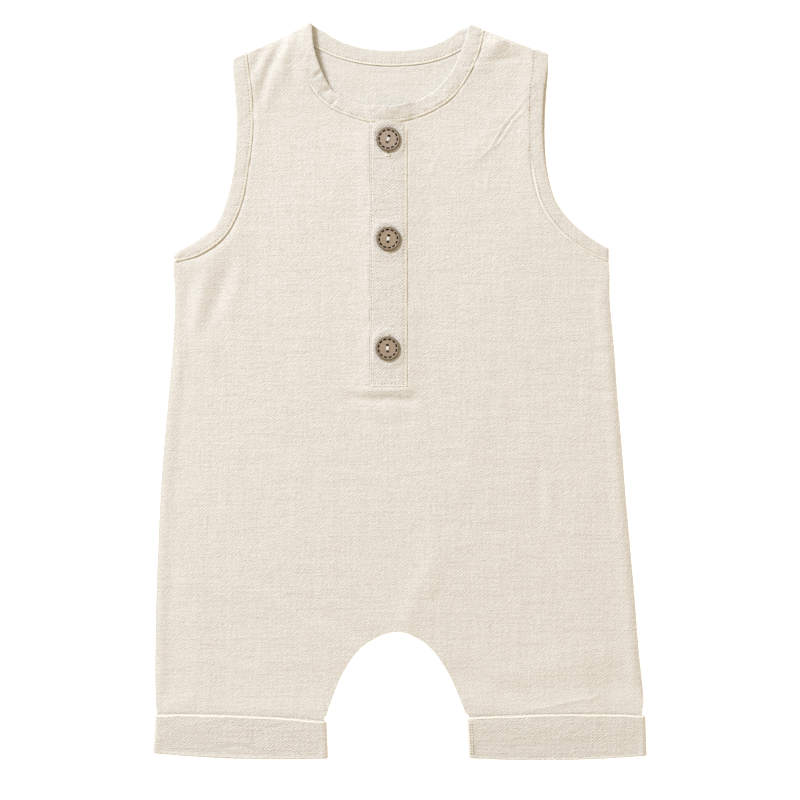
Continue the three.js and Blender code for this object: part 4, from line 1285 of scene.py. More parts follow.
class RomperColours(bpy.types.PropertyGroup):
    cloth_highlit: bpy.props.StringProperty(
        # The cloth's colour on its raised threads and in its hollows: a painted highlight and a painted shade
        # of its relief
        name="Cloth, Light", description=COLOUR_OF + "threads on top", default="#ECE8E1"
    )
    cloth_shaded: bpy.props.StringProperty(
        name="Cloth, Dark", description=COLOUR_OF + "the hollows between", default="#DFDAD2"
    )
    # The strips' colours are a slightly darker copy of the cloth's: painted shade, since the turned-up strips
    # catch more light
    strip_highlit: bpy.props.StringProperty(
        name="Strips, Light", description=COLOUR_OF + "the strips' threads on top", default="#EAE6DF"
    )
    strip_shaded: bpy.props.StringProperty(
        name="Strips, Dark", description=COLOUR_OF + "the strips' hollows", default="#DDD8D0"
    )
    # Colour of the painted shade dots in the needle holes
    needle_hole_shade: bpy.props.StringProperty(
        name="Needle Holes", description=COLOUR_OF + "the cloth in a needle hole", default="#AC9A7E"
    )
    # Paler colour painted on the sewn folds as their highlight
    fold: bpy.props.StringProperty(
        name="Sewn Folds", description=COLOUR_OF + "the cloth on a sewn fold", default="#F8F4E8"
    )
    thread: bpy.props.StringProperty(
        name="Thread", description=COLOUR_OF + "the sewing thread", default="#F3EAD6"
    )
    button_thread: bpy.props.StringProperty(
        name="Button Thread", description=COLOUR_OF + "the buttons' thread", default="#F6F3EC"
    )
    wood: bpy.props.StringProperty(
        name="Button Face", description=COLOUR_OF + "the buttons' wood", default="#AF9B86"
    )
    wood_dark: bpy.props.StringProperty(
        name="Button Grain", description=COLOUR_OF + "the wood's grain", default="#96826D"
    )
    wood_pale: bpy.props.StringProperty(
        name="Top Button's Face", description=COLOUR_OF + "the palest button's wood", default="#B6A393"
    )
    wood_pale_dark: bpy.props.StringProperty(
        name="Top Button's Grain", description=COLOUR_OF + "the palest button's grain", default="#9E8C7A"
    )
    wood_rim: bpy.props.StringProperty(
        name="Button Rim", description=COLOUR_OF + "the buttons' rim", default="#88755F"
    )
    # Colour of the burnt dashes, also painted on the walls of the buttons' holes as their shade
    burnt: bpy.props.StringProperty(
        name="Burnt Dashes", description=COLOUR_OF + "the burnt dashes", default="#1C0F06"
    )


MADE = {}


def materials(context):
    """The materials, made once from the settings."""
    if not MADE:
        sizes, tones = context.scene.romper_sizes, context.scene.romper_colours
        relief = sizes.relief / MM
        cloth, strips = (tones.cloth_highlit, tones.cloth_shaded), (tones.strip_highlit, tones.strip_shaded)
        MADE["body"] = crepe_material("slub_crepe_body", *cloth, 37, relief)
        # The strips take their darker copy of the cloth's colours, a painted shade
        MADE["trim"] = crepe_material("slub_crepe_strips_shaded", *strips, 46, relief)
        MADE["doubled"] = crepe_material("slub_crepe_doubled", *cloth, 37, 1.4 * relief)
        MADE["fold"] = fold_highlight_material("slub_crepe_fold_highlight", tones.fold)
        MADE["thread"] = thread_material("sewing_thread", tones.thread)
        MADE["needle_hole_shade"] = hole_shade_material("needle_hole_shade", tones.needle_hole_shade)
        MADE["white_thread"] = thread_material("button_thread", tones.button_thread)
        MADE["wood"] = wood_material("waxed_hardwood", tones.wood, tones.wood_dark, tones.wood_rim)
        pale = (tones.wood_pale, tones.wood_pale_dark, tones.wood_rim)
        MADE["wood_pale"] = wood_material("waxed_hardwood_pale", *pale)
        MADE["burnt"] = burnt_and_hole_shade_material("burnt_hardwood_and_hole_shade", tones.burnt)
    return MADE


def settle(piece, slot, *nodes):
    """The piece rides on the garment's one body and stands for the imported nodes."""
    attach(piece, "root")
    if nodes:
        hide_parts(*nodes)
    return piece


# Lines that bound the panels


def hem_line(side):
    tops, _, rim, _ = CUFFS[side]
    x = np.linspace(tops[0] - 6, tops[1] + 6, 90)
    share = clamp01((x - tops[0]) / (tops[1] - tops[0]))
    return np.column_stack([x, rim_at(rim, share) - CUFF_TUCK + GAP])


def cuff_share(cuff, x):
    """How far along a cuff's top, from 0 to 1; past its ends it is far from the cuff."""
    left, right = cuff[0]
    share = (x - left) / (right - left)
    return np.where((share > -0.1) & (share < 1.1), clamp01(share), 1e3)


def rim_at(rim, share):
    left, middle, right = rim
    return left + share * (4 * middle - 3 * left - right) + share**2 * (2 * left + 2 * right - 4 * middle)


def side_line(sign):
    y = np.arange(-214, 100, 1.5)
    return np.column_stack([on_table(BODY, y, 1) + sign * on_table(BODY, y, 2), y])


def arm_line(side, half):
    """A panel's edge under an armhole strip, from outside the underarm to beyond the shoulder."""
    line = seam_line(ARMS[side][half], LAP)
    out = line[0] + np.array([UNDERARMS[side][2] * 30, 0])
    far = line[-1] + shoulder_frame(side)[2] * 30
    return np.vstack([out, line, far])


def neck_line(which):
    """A panel's edge under the neck strip. Those of the front run on past their shoulder."""
    line = seam_line(NECK[which], LAP)
    if which == "left":
        return np.vstack([line, line[-1] + shoulder_frame("left")[2] * 30])
    if which == "right":
        return np.vstack([line[0] + shoulder_frame("right")[2] * 30, line])
    ends = [shoulder_frame(s)[2] * 30 for s in ("left", "right")]
    return np.vstack([line[0] + ends[0], line, line[-1] + ends[1]])


def fold_start(side):
    """Where the back leaves the resting surface to turn over a shoulder fold."""
    neck, along, out, length = shoulder_frame(side)
    base = neck - out * (SHOULDER_TURN + BOUND)
    return np.array([base + along * s for s in np.linspace(-12, length + 12, 60)])


def straight(a, b, step=2.0):
    return evenly(np.array([a, b], float), step)


def shoulder_seam(side, gap):
    line = smooth_line(SHOULDER_SEAMS[side], 1.5)
    return line + np.array([0, gap])


def narrow(table, limit=3.2):
    """Rows of points beside each narrow crease, so that its form is in the mesh."""
    rows = []
    for _, wide, line in table:
        if wide < limit:
            offsets = [wide * k for k in (-1.7, -0.85, 0, 0.85, 1.7)]
            rows.extend(beside(line, offsets, max(1.0, wide)))
    return rows


class ROMPER_OT_front(bpy.types.Operator):
    """Front panel, open at the placket's slit"""

    bl_idname = "romper.front"
    bl_label = "Front"

    def execute(self, context):
        lines = [
            hem_line("left"),
            smooth_line(LEG_ARCH, 1.3),
            hem_line("right"),
            side_line(1),
            arm_line("right", "front"),
            shoulder_seam("right", -0.015),
            neck_line("right"),
            straight((SLIT["right"], 185), (SLIT["right"], SLIT["bottom"] - 5)),
            straight((SLIT["right"] + 5, SLIT["bottom"]), (SLIT["left"] - 5, SLIT["bottom"])),
            straight((SLIT["left"], SLIT["bottom"] - 5), (SLIT["left"], 185)),
            neck_line("left"),
            shoulder_seam("left", -0.015)[::-1],
            arm_line("left", "front")[::-1],
            side_line(-1)[::-1],
        ]
        step = context.scene.romper_sizes.mesh_step / MM
        outline = closed_outline(lines)
        rows = narrow(CREASES)
        rows += beside(side_line(1), [0.5, 1.1, 1.8, 2.8, 4.2], 1.8)
        rows += beside(side_line(-1), [-0.5, -1.1, -1.8, -2.8, -4.2], 1.8)
        for key in ("left", "right"):
            rows += beside(SEAMS_FRONT[key], [-1.0, -0.5, -0.05, 0.0, 0.05, 0.28, 0.6, 1.1, 2.0], 1.4)
        rows += beside(SEAMS_FRONT["neck"], [-1.0, -0.5, 0.0, 0.05, 0.28, 0.6, 1.1, 2.0], 1.4)
        for tops, _, rim, _ in CUFFS.values():
            x = np.linspace(*tops, 60)
            rim_line = np.column_stack([x, rim_at(rim, np.linspace(0, 1, 60))])
            rows += beside(rim_line, [-0.6, -0.1, 0.3, 0.7, 1.2], 1.6)
        for x in (FREE_EDGE, PLACKET["right"]):
            rows += beside([(x, 2.0), (x, 166.0)], [-1.6, -0.8, -0.12, -0.04, 0.04, 0.12, 0.8, 1.6], 1.5)
        y = PLACKET["bottom"]
        rows += beside([(FREE_EDGE, y), (PLACKET["right"], y)], [-1.6, -0.8, -0.12, -0.04, 0.4], 1.2)
        plan, faces = filled(outline, step, rows)
        points, faces = shell(plan, faces, front_top(plan[:, 0], plan[:, 1]), SKIN)
        mesh = facing_out(mesh_of("front_cloth", points, faces))
        piece = new_object("front_cloth", mesh, [materials(context)["body"]])
        settle(piece, "cloth_body", "front")
        return {"FINISHED"}


class ROMPER_OT_back(bpy.types.Operator):
    """Back panel, whose shoulders turn over the folds and run down to seams on the front side"""

    bl_idname = "romper.back"
    bl_label = "Back"

    def execute(self, context):
        lines = [
            hem_line("left"),
            smooth_line(LEG_ARCH, 1.3),
            hem_line("right"),
            side_line(1),
            arm_line("right", "back"),
            fold_start("right")[::-1],
            neck_line("back")[::-1],
            fold_start("left"),
            arm_line("left", "back")[::-1],
            side_line(-1)[::-1],
        ]
        outline = closed_outline(lines)
        rows = narrow(BACK_CREASES)
        rows += beside(SEAMS_BACK["neck"], [-4, -2.5, -1.2, -0.7, -0.3, 0, 0.3, 0.7, 1.2], 1.6)
        x, y = np.meshgrid(np.arange(-60, 50, 1.8), np.arange(172, 214, 1.8))
        rows.append(np.column_stack([x.ravel(), y.ravel()]))
        plan, faces = filled(outline, 3.2, rows)
        parts = [shell(plan, faces, back_top(plan[:, 0], plan[:, 1]), SKIN)]
        for side in ("left", "right"):
            parts.append(shoulder_flap(side))
        points, faces = joined(parts)
        mesh = facing_out(mesh_of("back_cloth", points, faces))
        piece = new_object("back_cloth", mesh, [materials(context)["body"]])
        settle(piece, "cloth_body", "back")
        return {"FINISHED"}


def shoulder_flap(side):
    """The back's shoulder: over the fold, then down the front side to its seam. Points and faces."""
    neck, along, out, length = shoulder_frame(side)
    near_arm = ARMS[side]["front"][::-1]
    near_neck = NECK[side][::-1] if side == "left" else NECK[side]
    seam = shoulder_seam(side, 0.015)
    arm_edge, neck_edge = seam_line(near_arm, LAP), seam_line(near_neck, LAP)
    arm_edge = upto(arm_edge, seam)
    neck_edge = upto(neck_edge, seam)
    arm_seam, neck_seam = longer(seam_line(near_arm)), longer(seam_line(near_neck))
    inner, outer = [], []
    columns = FLAP_COLUMNS
    turns = 12
    for k in range(turns + 1):
        share = k / turns
        angle = math.pi * (share - 0.5)
        low, high = np.full(columns, blend(0.6, 0.35, share)), np.full(columns, blend(1.25, 1.0, share))
        a = neck + along * (length - ARM_STRIP + LAP) - out * (SHOULDER_TURN + BOUND)
        b = neck + along * (NECK_STRIP - LAP) - out * (SHOULDER_TURN + BOUND)
        u, off_neck = spread(a, b, LAP, LAP)
        base = blend(a, b, u)
        flush = (BOUND - high) * (1 - ease(off_neck - LAP, 0.8, 9)) * (off_neck > LAP) * (side == "left")
        for h, rows in ((low, inner), (high + flush, outer)):
            reach = (SHOULDER_TURN + h)[:, None]
            plan = base + out * math.cos(angle) * reach
            rows.append(np.column_stack([plan, SHOULDER_TURN + BOUND + math.sin(angle) * reach[:, 0]]))
    rows_down = 20
    for k in range(1, rows_down + 1):
        s = k / rows_down
        a, b = at_share(arm_edge, s), at_share(neck_edge, s)
        lap_a = np.linalg.norm(crossing(np.array([a, b]), arm_seam)[2] - a)
        lap_b = np.linalg.norm(crossing(np.array([b, a]), neck_seam)[2] - b)
        plan = blend(a, b, spread(a, b, lap_a, lap_b)[0])
        down = shoulder_curve(plan, side, s)
        x, y = down[:, 0], down[:, 1]
        top = front_top(x, y)
        outer.append(np.column_stack([x, y, top]))
        inner.append(np.column_stack([x, y, top - SKIN]))
    grid_out, grid_in = np.array(outer), np.array(inner)
    rows, count = grid_out.shape[0], columns
    faces = []
    total = rows * count
    for i in range(rows - 1):
        for j in range(count - 1):
            a, b, c, d = i * count + j, i * count + j + 1, (i + 1) * count + j + 1, (i + 1) * count + j
            faces.append((a, b, c, d))
            faces.append((d + total, c + total, b + total, a + total))
    rim = [i * count for i in range(rows)] + [(rows - 1) * count + j for j in range(1, count)]
    rim += [i * count + count - 1 for i in range(rows - 2, -1, -1)] + [j for j in range(count - 2, 0, -1)]
    for a, b in zip(rim, rim[1:] + rim[:1]):
        faces.append((a, b, b + total, a + total))
    return np.vstack([grid_out.reshape(-1, 3), grid_in.reshape(-1, 3)]), faces


FLAP_COLUMNS = 46


def longer(line, by=4.0):
    """A line carried on straight at both ends."""
    return np.vstack([line[0] + (line[0] - line[1]) * by, line, line[-1] + (line[-1] - line[-2]) * by])


def spread(a, b, lap_a, lap_b):
    """Shares of the way from a to b, close together at both seams, and each one's distance from b."""
    length = np.linalg.norm(b - a)
    past = np.array([-0.02, 0.02, 0.6, 1.4, 2.4])
    first, last = ([0, lap / 2, *(lap + past)] for lap in (lap_a, lap_b))
    middle = np.linspace(first[-1], length - last[-1], FLAP_COLUMNS - len(first) - len(last) + 2)[1:-1]
    places = np.concatenate([first, middle, length - np.array(last[::-1])])
    return (places / length)[:, None], length - places


def upto(line, stop):
    """The part of a line before it crosses another."""
    i, _, point = crossing(line, stop)
    return np.vstack([line[: int(i) + 1], point])


def at_share(line, share):
    along = run_of(line)
    return at_run(line, along, share * along[-1])


def shoulder_curve(plan, side, share):
    """Bends the last rows of a shoulder onto its seam line."""
    seam = shoulder_seam(side, 0.015)
    seam = seam[np.argsort(seam[:, 0])]
    target = np.interp(plan[:, 0], seam[:, 0], seam[:, 1])
    ends = np.array([plan[0], plan[-1]])
    order = np.argsort(ends[:, 0])
    chord_seam = np.interp(plan[:, 0], ends[order, 0], np.interp(ends[order, 0], seam[:, 0], seam[:, 1]))
    bow = target - chord_seam
    return np.column_stack([plan[:, 0], plan[:, 1] + bow * share])


def stitch_sizes(context):
    """The pitch and the length of the stitches."""
    sizes = context.scene.romper_sizes
    return sizes.stitch_pitch / MM, sizes.stitch_length / MM


class ROMPER_OT_strips(bpy.types.Operator):
    """Folded strips round the neck and the armholes, with their stitching"""

    bl_idname = "romper.strips"
    bl_label = "Neck and Armhole Strips"

    def execute(self, context):
        made = materials(context)
        pitch, length = stitch_sizes(context)
        shown = NECK["left"][NECK["left"][:, 0] < -13]
        left = front_loops(shown, front_level, 31, 1 - ease(shown[:, 3], 187, 195), lip, 1.5)
        right = front_loops(NECK["right"], lapped_level, 33, strong=1.9)
        back = back_loops(NECK["back"], 35)
        over_left = shoulder_turn("left", 0, NECK_STRIP, 0.0)[::-1]
        over_right = shoulder_turn("right", 0, NECK_STRIP)
        loops = left + over_left + back + over_right + right
        points, faces = loft(loops, False)
        number = face_numbers(loops)
        # The faces on the sewn folds get the paler material, a painted highlight
        fold_highlight_faces = [number[np.nonzero(shown[:, 3] < 190)[0]][:, SECTION_FOLD]]
        fold_highlight_faces.append(number[-len(over_right + right) : -1, SECTION_FOLD])
        start = len(left + over_left)
        fold_highlight_faces.append(number[start : start + len(back), SECTION_FOLD_INSIDE])
        numbers = np.concatenate([part.ravel() for part in fold_highlight_faces])
        mesh = facing_out(marked(mesh_of("neck_strip", points, faces), numbers))
        strip = new_object("neck_strip", mesh, [made["trim"], made["fold"]], 55)
        neck = settle(strip, "cloth_trim", "neck_band")
        rows = [
            stitches_on(*groove_line(left[: int(len(left) * 0.5)]), pitch, length, 1),
            stitches_on(*groove_line(right), pitch, length, 2),
            stitches_on(*groove_line(back, SECTION_GROOVE_INSIDE), pitch, length, 3),
        ]
        sewing = sewn("neck_stitches", rows)
        for side in ("left", "right"):
            stations = ARMS[side]["front"]
            ridge = np.ones(len(stations)) if side == "left" else 1 - ease(stations[:, 3], 122, 150)
            front = front_loops(stations, front_level, 41 if side == "left" else 47, ridge)
            rear = back_loops(ARMS[side]["back"], 43 if side == "left" else 49)
            (ex, ey), (sx, sy), sign = UNDERARMS[side]
            run = np.array([sx - ex, sy - ey], float)
            width = np.linalg.norm(run)
            under = turn_loops(np.array([ex, ey]), run / width, np.array([sign, 0.0]), ARM_LEVEL, 0, width)
            end = shoulder_frame(side)[3]
            over = shoulder_turn(side, end, end - ARM_STRIP)[::-1]
            loops = under + front + over + rear[::-1]
            points, faces = loft(loops, True)
            number = face_numbers(loops)
            shown = np.concatenate([np.ones(len(under)), ridge, np.zeros(len(over + rear))]) > 0.4
            # The faces on the sewn fold get the paler material, a painted highlight
            mesh = marked(mesh_of(f"armhole_strip_{side}", points, faces), number[shown, SECTION_FOLD])
            strip = new_object(f"armhole_strip_{side}", facing_out(mesh), [made["trim"], made["fold"]], 55)
            arm = settle(strip, "cloth_trim", f"armhole_band_{side}")
            rows = [stitches_on(*groove_line(front, ridge=ridge), pitch, length, 5)]
            sewing = sewn(f"armhole_stitches_{side}", rows)
        return {"FINISHED"}


def placket_grid(left, right, bottom, top_z, edges, step=1.3):
    """A strip of cloth with columns close at its edges and stitch lines. Points and faces of a shell."""
    width = right - left
    near = [0, 0.25, 0.6, 1.0, 1.4, 1.8, 2.4, 3.2]
    middle = np.linspace(4.2, width - 4.2, 12)
    columns = np.array(near + list(middle) + [width - d for d in reversed(near)])
    seam = neck_top_line()
    seam = seam[np.argsort(seam[:, 0])]
    tops = np.interp(left + columns, seam[:, 0], seam[:, 1])
    count = int((172 - bottom) / step)
    low = [0, 0.3, 0.7, 1.1, 1.5, 2.0, 2.8]
    shares = np.array(low + list(np.linspace(4.0, 164.0, count))) / 164.0
    plan = np.array([[(left + c, bottom + (t - bottom) * s) for c, t in zip(columns, tops)] for s in shares])
    rows, cols = plan.shape[:2]
    faces = [
        (i * cols + j, i * cols + j + 1, (i + 1) * cols + j + 1, (i + 1) * cols + j)
        for i in range(rows - 1)
        for j in range(cols - 1)
    ]
    flat = plan.reshape(-1, 2)
    return shell(flat, faces, top_z(flat[:, 0], flat[:, 1]), edges)


def placket_fold_highlights(points, faces):
    """Numbers of the faces at the upper strip's right and lower edges, which take the paler fold material: a
    painted highlight.
    """
    middles = np.array([np.mean(points[list(face)], axis=0) for face in faces])
    from_right, from_low = PLACKET["right"] - middles[:, 0], middles[:, 1] - PLACKET["bottom"]
    return np.nonzero((from_right < 0.7) | (from_low < 0.6))[0]


def neck_top_line():
    """The neck seam over the placket, where the placket's strips run in under the neck strip."""
    return seam_line(NECK["right"], LAP)


def placket_top(x, y):
    """Upper face of the placket's upper strip: stitched hollows beside its edges and a bulge between."""
    level = front_level(x, y) + 2 * CLOTH + GAP
    left, right = x - FREE_EDGE, PLACKET["right"] - x
    low = y - PLACKET["bottom"]
    neck_away = away_from(x, y, SEAMS_FRONT["neck"])
    edge = np.minimum(np.minimum(left, right), low)
    z = level + (creases(x, y, CREASES) + 0.6 * front_rumples_soft(x, y)) * ease(edge, 0, 4)
    # Grooves of the three stitch lines, and a ridge outside the right one
    swells = ((right - 1.7, -0.26), (left - EDGE_STITCH, -0.3), (low - 1.6, -0.2), (right - 0.7, 0.2))
    for away, high in swells:
        z = z + high * np.exp(-((away / 0.5) ** 2))
    z = z - 0.5 * (1 - ease(left, 0, 0.7)) - 0.3 * (1 - ease(right, 0, 0.35)) - 0.35 * (1 - ease(low, 0, 0.6))
    # A second soft line, where the turned-in edge prints through
    z = z - 0.1 * np.exp(-(((left - 3.4) / 0.6) ** 2))
    z = z + (0.1 * rumple(x * 1.2, y, 9, 61) + 0.05 * rumple(x, y, 4.5, 62)) * ease(edge, 1, 4)
    for bx, by, _, up, down in BUTTONS.values():
        away = away_from(x, y, [(bx, by - down + 2), (bx, by + up - 2)])
        z = z - 0.25 * np.exp(-((away / 4.0) ** 2))
        z = z + 0.8 * np.exp(-(((np.hypot(x - bx, y - by) - 9.8) / 2.4) ** 2)) * ease(edge, 0, 3)
    lift = (1 - ease(neck_away, 1.5, 9)) * (lap_raise(x) - GAP - 1.0 + 0.05)
    return z + lift


def front_rumples_soft(x, y):
    return 0.22 * rumple(x, y, 46, 3) + 0.14 * rumple(x, y, 23, 7)


class ROMPER_OT_placket(bpy.types.Operator):
    """Both placket strips, the buttonholes' stitching and the edge stitching"""

    bl_idname = "romper.placket"
    bl_label = "Placket"

    def execute(self, context):
        made = materials(context)
        pitch, length = stitch_sizes(context)
        points, faces = placket_grid(FREE_EDGE, PLACKET["right"], PLACKET["bottom"], placket_top, SKIN)
        # The upper strip's folded edges get the paler material, a painted highlight
        mesh = facing_out(marked(mesh_of("placket_top", points, faces), placket_fold_highlights(points, faces)))
        upper = new_object("placket_top", mesh, [made["doubled"], made["fold"]])
        cut_buttonholes(upper)
        settle(upper, "cloth_trim", "placket_upper")
        under_left, under_right = SLIT["left"] + 0.3, SLIT["right"] - 0.3
        points, faces = placket_grid(
            under_left, under_right, SLIT["bottom"] + 0.3, lambda x, y: front_level(x, y) + CLOTH, SKIN, 3.0
        )
        mesh = facing_out(mesh_of("placket_below", points, faces))
        below = settle(new_object("placket_below", mesh, [made["body"]]), "cloth_trim", "placket_under")

        def run(start, end, top, seed):
            line = evenly(np.array([start, end], float), 0.8)
            raised_line = np.column_stack([line, top(line[:, 0], line[:, 1]) + 0.04])
            return stitches_on(raised_line, upward(len(line)), pitch, length, seed)

        left, right, low = FREE_EDGE + EDGE_STITCH, PLACKET["right"] - 1.7, PLACKET["bottom"] + 1.6
        rows = [
            run((left, low), (left, 166.5), placket_top, 11),
            run((right, 166.0), (right, low), placket_top, 12),
            run((left, low), (right, low), placket_top, 13),
            # The last stitches run on past the placket's corner into the front
            run((-23.2, 4.0), (-18.2, 4.4), front_top, 14),
        ]
        rows += [(buttonhole_stitches(*row), None) for row in BUTTONS.values()]
        sewing = sewn("placket_stitches", rows)
        return {"FINISHED"}


def cut_buttonholes(piece):
    """Cuts the three slots through the upper placket strip."""
    work = bmesh.new()
    for x, y, _, up, down in BUTTONS.values():
        size = Vector((0.7, up + down - 1.6, 12))
        middle = Vector((x, y + (up - down) / 2, 4))
        corners = bmesh.ops.create_cube(work, size=1.0)["verts"]
        for v in corners:
            v.co = Vector(a * b for a, b in zip(v.co, size)) + middle
            v.co *= MM
    mesh = bpy.data.meshes.new("buttonhole_cutters")
    work.to_mesh(mesh)
    work.free()
    cutter = bpy.data.objects.new("buttonhole_cutters", mesh)
    bpy.context.scene.collection.objects.link(cutter)
    apply_cut(piece, cutter)


def apply_cut(piece, cutter):
    """Takes a cutter's shape out of a piece, and removes the cutter."""
    cut = piece.modifiers.new("cut", "BOOLEAN")
    cut.operation, cut.solver, cut.object = "DIFFERENCE", "EXACT", cutter
    bpy.context.view_layer.update()
    whole = piece.evaluated_get(bpy.context.evaluated_depsgraph_get())
    mesh = bpy.data.meshes.new_from_object(whole)
    piece.modifiers.clear()
    old, piece.data = piece.data, mesh
    mesh.name = piece.name
    bpy.data.meshes.remove(old)
    bpy.data.meshes.remove(cutter.data)
    mesh.set_sharp_from_angle(angle=math.radians(40))


def buttonhole_stitches(x, y, _, up, down):
    """Close stitches across both sides of a buttonhole, with a bar at each end."""
    parts = []
    low, high = y - down, y + up
    pitch = 0.5
    for sign in (-1, 1):
        ys = np.arange(low + 1.4, high - 1.4, pitch)
        for at in ys:
            a, b = x + sign * 0.4, x + sign * 1.45
            line = np.array([(a, at), (b, at + 0.12)])
            z = placket_top(line[:, 0], line[:, 1]) + 0.12
            parts.append(one_stitch(np.column_stack([line, z]), 0.2))
    for end in (low + 0.7, high - 0.7):
        for k in range(5):
            at = end + (k - 2) * 0.3
            line = np.array([(x - 1.5, at), (x + 1.5, at)])
            z = placket_top(line[:, 0], line[:, 1]) + 0.32
            parts.append(one_stitch(np.column_stack([line, z]), 0.22))
    return joined(parts)


def one_stitch(line, radius):
    """A single stitch from end to end of a short line, facing up."""
    shape, faces = capsule()
    a, b = line
    way = b - a
    up = np.array([0.0, 0.0, 1.0])
    side = np.cross(up, way / np.linalg.norm(way))
    return laid_along(shape, (a + b) / 2, way, side, up, (0.5, radius, radius)), faces


CUFF_FOLD = slice(30, 34)  # the places in a cuff's profile that turn over its upper edge
CUFF_FALL = {"left": 0.9, "right": 1.5}  # how far a cuff's face drops towards its lower edge


def cuff_loops(side):
    """Loops of a cuff round the flattened leg, with creases on the side that shows."""
    tops, bottoms, rim_top, rim_bottom = CUFFS[side]
    wall = 0.75
    middle = CUFF_LEVEL - GAP / 2
    turn = CUFF_WALL / 2

    def arc(radius, start, end, count):
        for t in np.linspace(start, end, count):
            yield 1, turn - radius * math.sin(t), turn - radius * math.cos(t)

    down = list(np.linspace(0.1, 0.94, 15))
    profile = [(0, -CUFF_TUCK, 0.0)]
    profile += [(s, None, 0.0) for s in (0.35, 0.6, 0.8)]
    profile += list(arc(turn, 0, math.pi, 11))
    profile += [(s, None, CUFF_WALL) for s in reversed(down)]
    edge = [(-0.9, 0.02), (-0.45, 0.06), (-0.12, -0.05), (0.0, -0.35), (-0.12, -0.65), (-0.45, -wall)]
    profile += [(0, along, CUFF_WALL + out) for along, out in edge]
    profile += [(s, None, CUFF_WALL - wall) for s in (0.2, 0.5, 0.8)]
    profile += list(arc(turn - wall, math.pi, 0, 7))
    profile += [(s, None, wall) for s in (0.8, 0.5, 0.3)]
    profile += [(0, -CUFF_TUCK, wall)]
    inset = CUFF_WALL + GAP / 2

    def loop(share, angle, face):
        points = []
        top, bottom = rim_at(rim_top, share), rim_at(rim_bottom, share)
        for place, up, out in profile:
            if up is None:
                y = blend(top, bottom, place)
            else:
                y = (top if place == 0 else bottom) + up
            if place == 0 and out > wall:
                x_here = blend(tops[0], tops[1], share)
                y = y + 0.3 * float(rumple(x_here, 0, 12, 71)) + 0.16 * float(rumple(x_here, 0, 4.5, 72))
            fall = clamp01((rim_top[1] - y) / (rim_top[1] - rim_bottom[1]))
            left = blend(tops[0], bottoms[0], fall) + inset
            right = blend(tops[1], bottoms[1], fall) - inset
            reach = out + GAP / 2
            x = blend(left, right, share)
            up_z = reach * math.sin(angle)
            if face and out > CUFF_WALL - 0.5:
                soft = 0.16 * rumple(x, y, 14, 73) + 0.09 * rumple(x, y, 6, 74)
                soft = soft + 0.03 * rumple(x + y, y, 3, 75)
                soft = soft - CUFF_FALL[side] * ease(fall, 0.2, 1.15)
                fade = ease(y, bottom + 0.1, bottom + 2.5) * ease(abs(share - 0.5), 0.5, 0.46)
                up_z = up_z + float((soft + creases(x, y, CUFF_CREASES)) * fade) * math.sin(angle)
            points.append((x + reach * math.cos(angle), y, middle + up_z))
        return points

    half = math.pi / 2
    loops = [loop(s, half, True) for s in np.linspace(0, 1, 110)]
    loops += [loop(1, half - a, False) for a in np.linspace(0, math.pi, 14)[1:-1]]
    loops += [loop(s, -half, False) for s in np.linspace(1, 0, 50)]
    loops += [loop(0, -half - a, False) for a in np.linspace(0, math.pi, 14)[1:-1]]
    return loops


class ROMPER_OT_cuffs(bpy.types.Operator):
    """Turned-up cuffs on both legs"""

    bl_idname = "romper.cuffs"
    bl_label = "Cuffs"

    def execute(self, context):
        made = materials(context)
        pitch, length = stitch_sizes(context)
        for side, (tops, _, _, _) in CUFFS.items():
            loops = cuff_loops(side)
            points, faces = loft(loops, True)
            # The cuff's upper fold gets the paler material, a painted highlight
            mesh = marked(mesh_of(f"cuff_cloth_{side}", points, faces), face_numbers(loops)[:, CUFF_FOLD])
            cloth = new_object(f"cuff_cloth_{side}", facing_out(mesh), [made["doubled"], made["fold"]])
            cuff = settle(cloth, "cloth_trim", f"cuff_{side}")
        # The join of the right cuff: two lines of stitches beside its inner side
        top = CUFF_LEVEL + CUFF_WALL
        rows = []
        for x in (43.6, 45.2):
            line = evenly(np.array([(x, -204.5), (x + 0.8, -226.0)]), 0.8)
            line = np.column_stack([line, np.full(len(line), top + 0.05)])
            rows.append(stitches_on(line, upward(len(line)), 0.8 * pitch, 0.75 * length, int(x), 0.13))
        sewn("cuff_stitches", rows)
        return {"FINISHED"}


BUTTON_HOLES = (1.85, -1.85)  # middles of the two holes, above and below the button's own
HOLE_RADIUS = 0.92
DASHES = 12
DASH_RING = 5.62
THREAD_REACH = 1.2


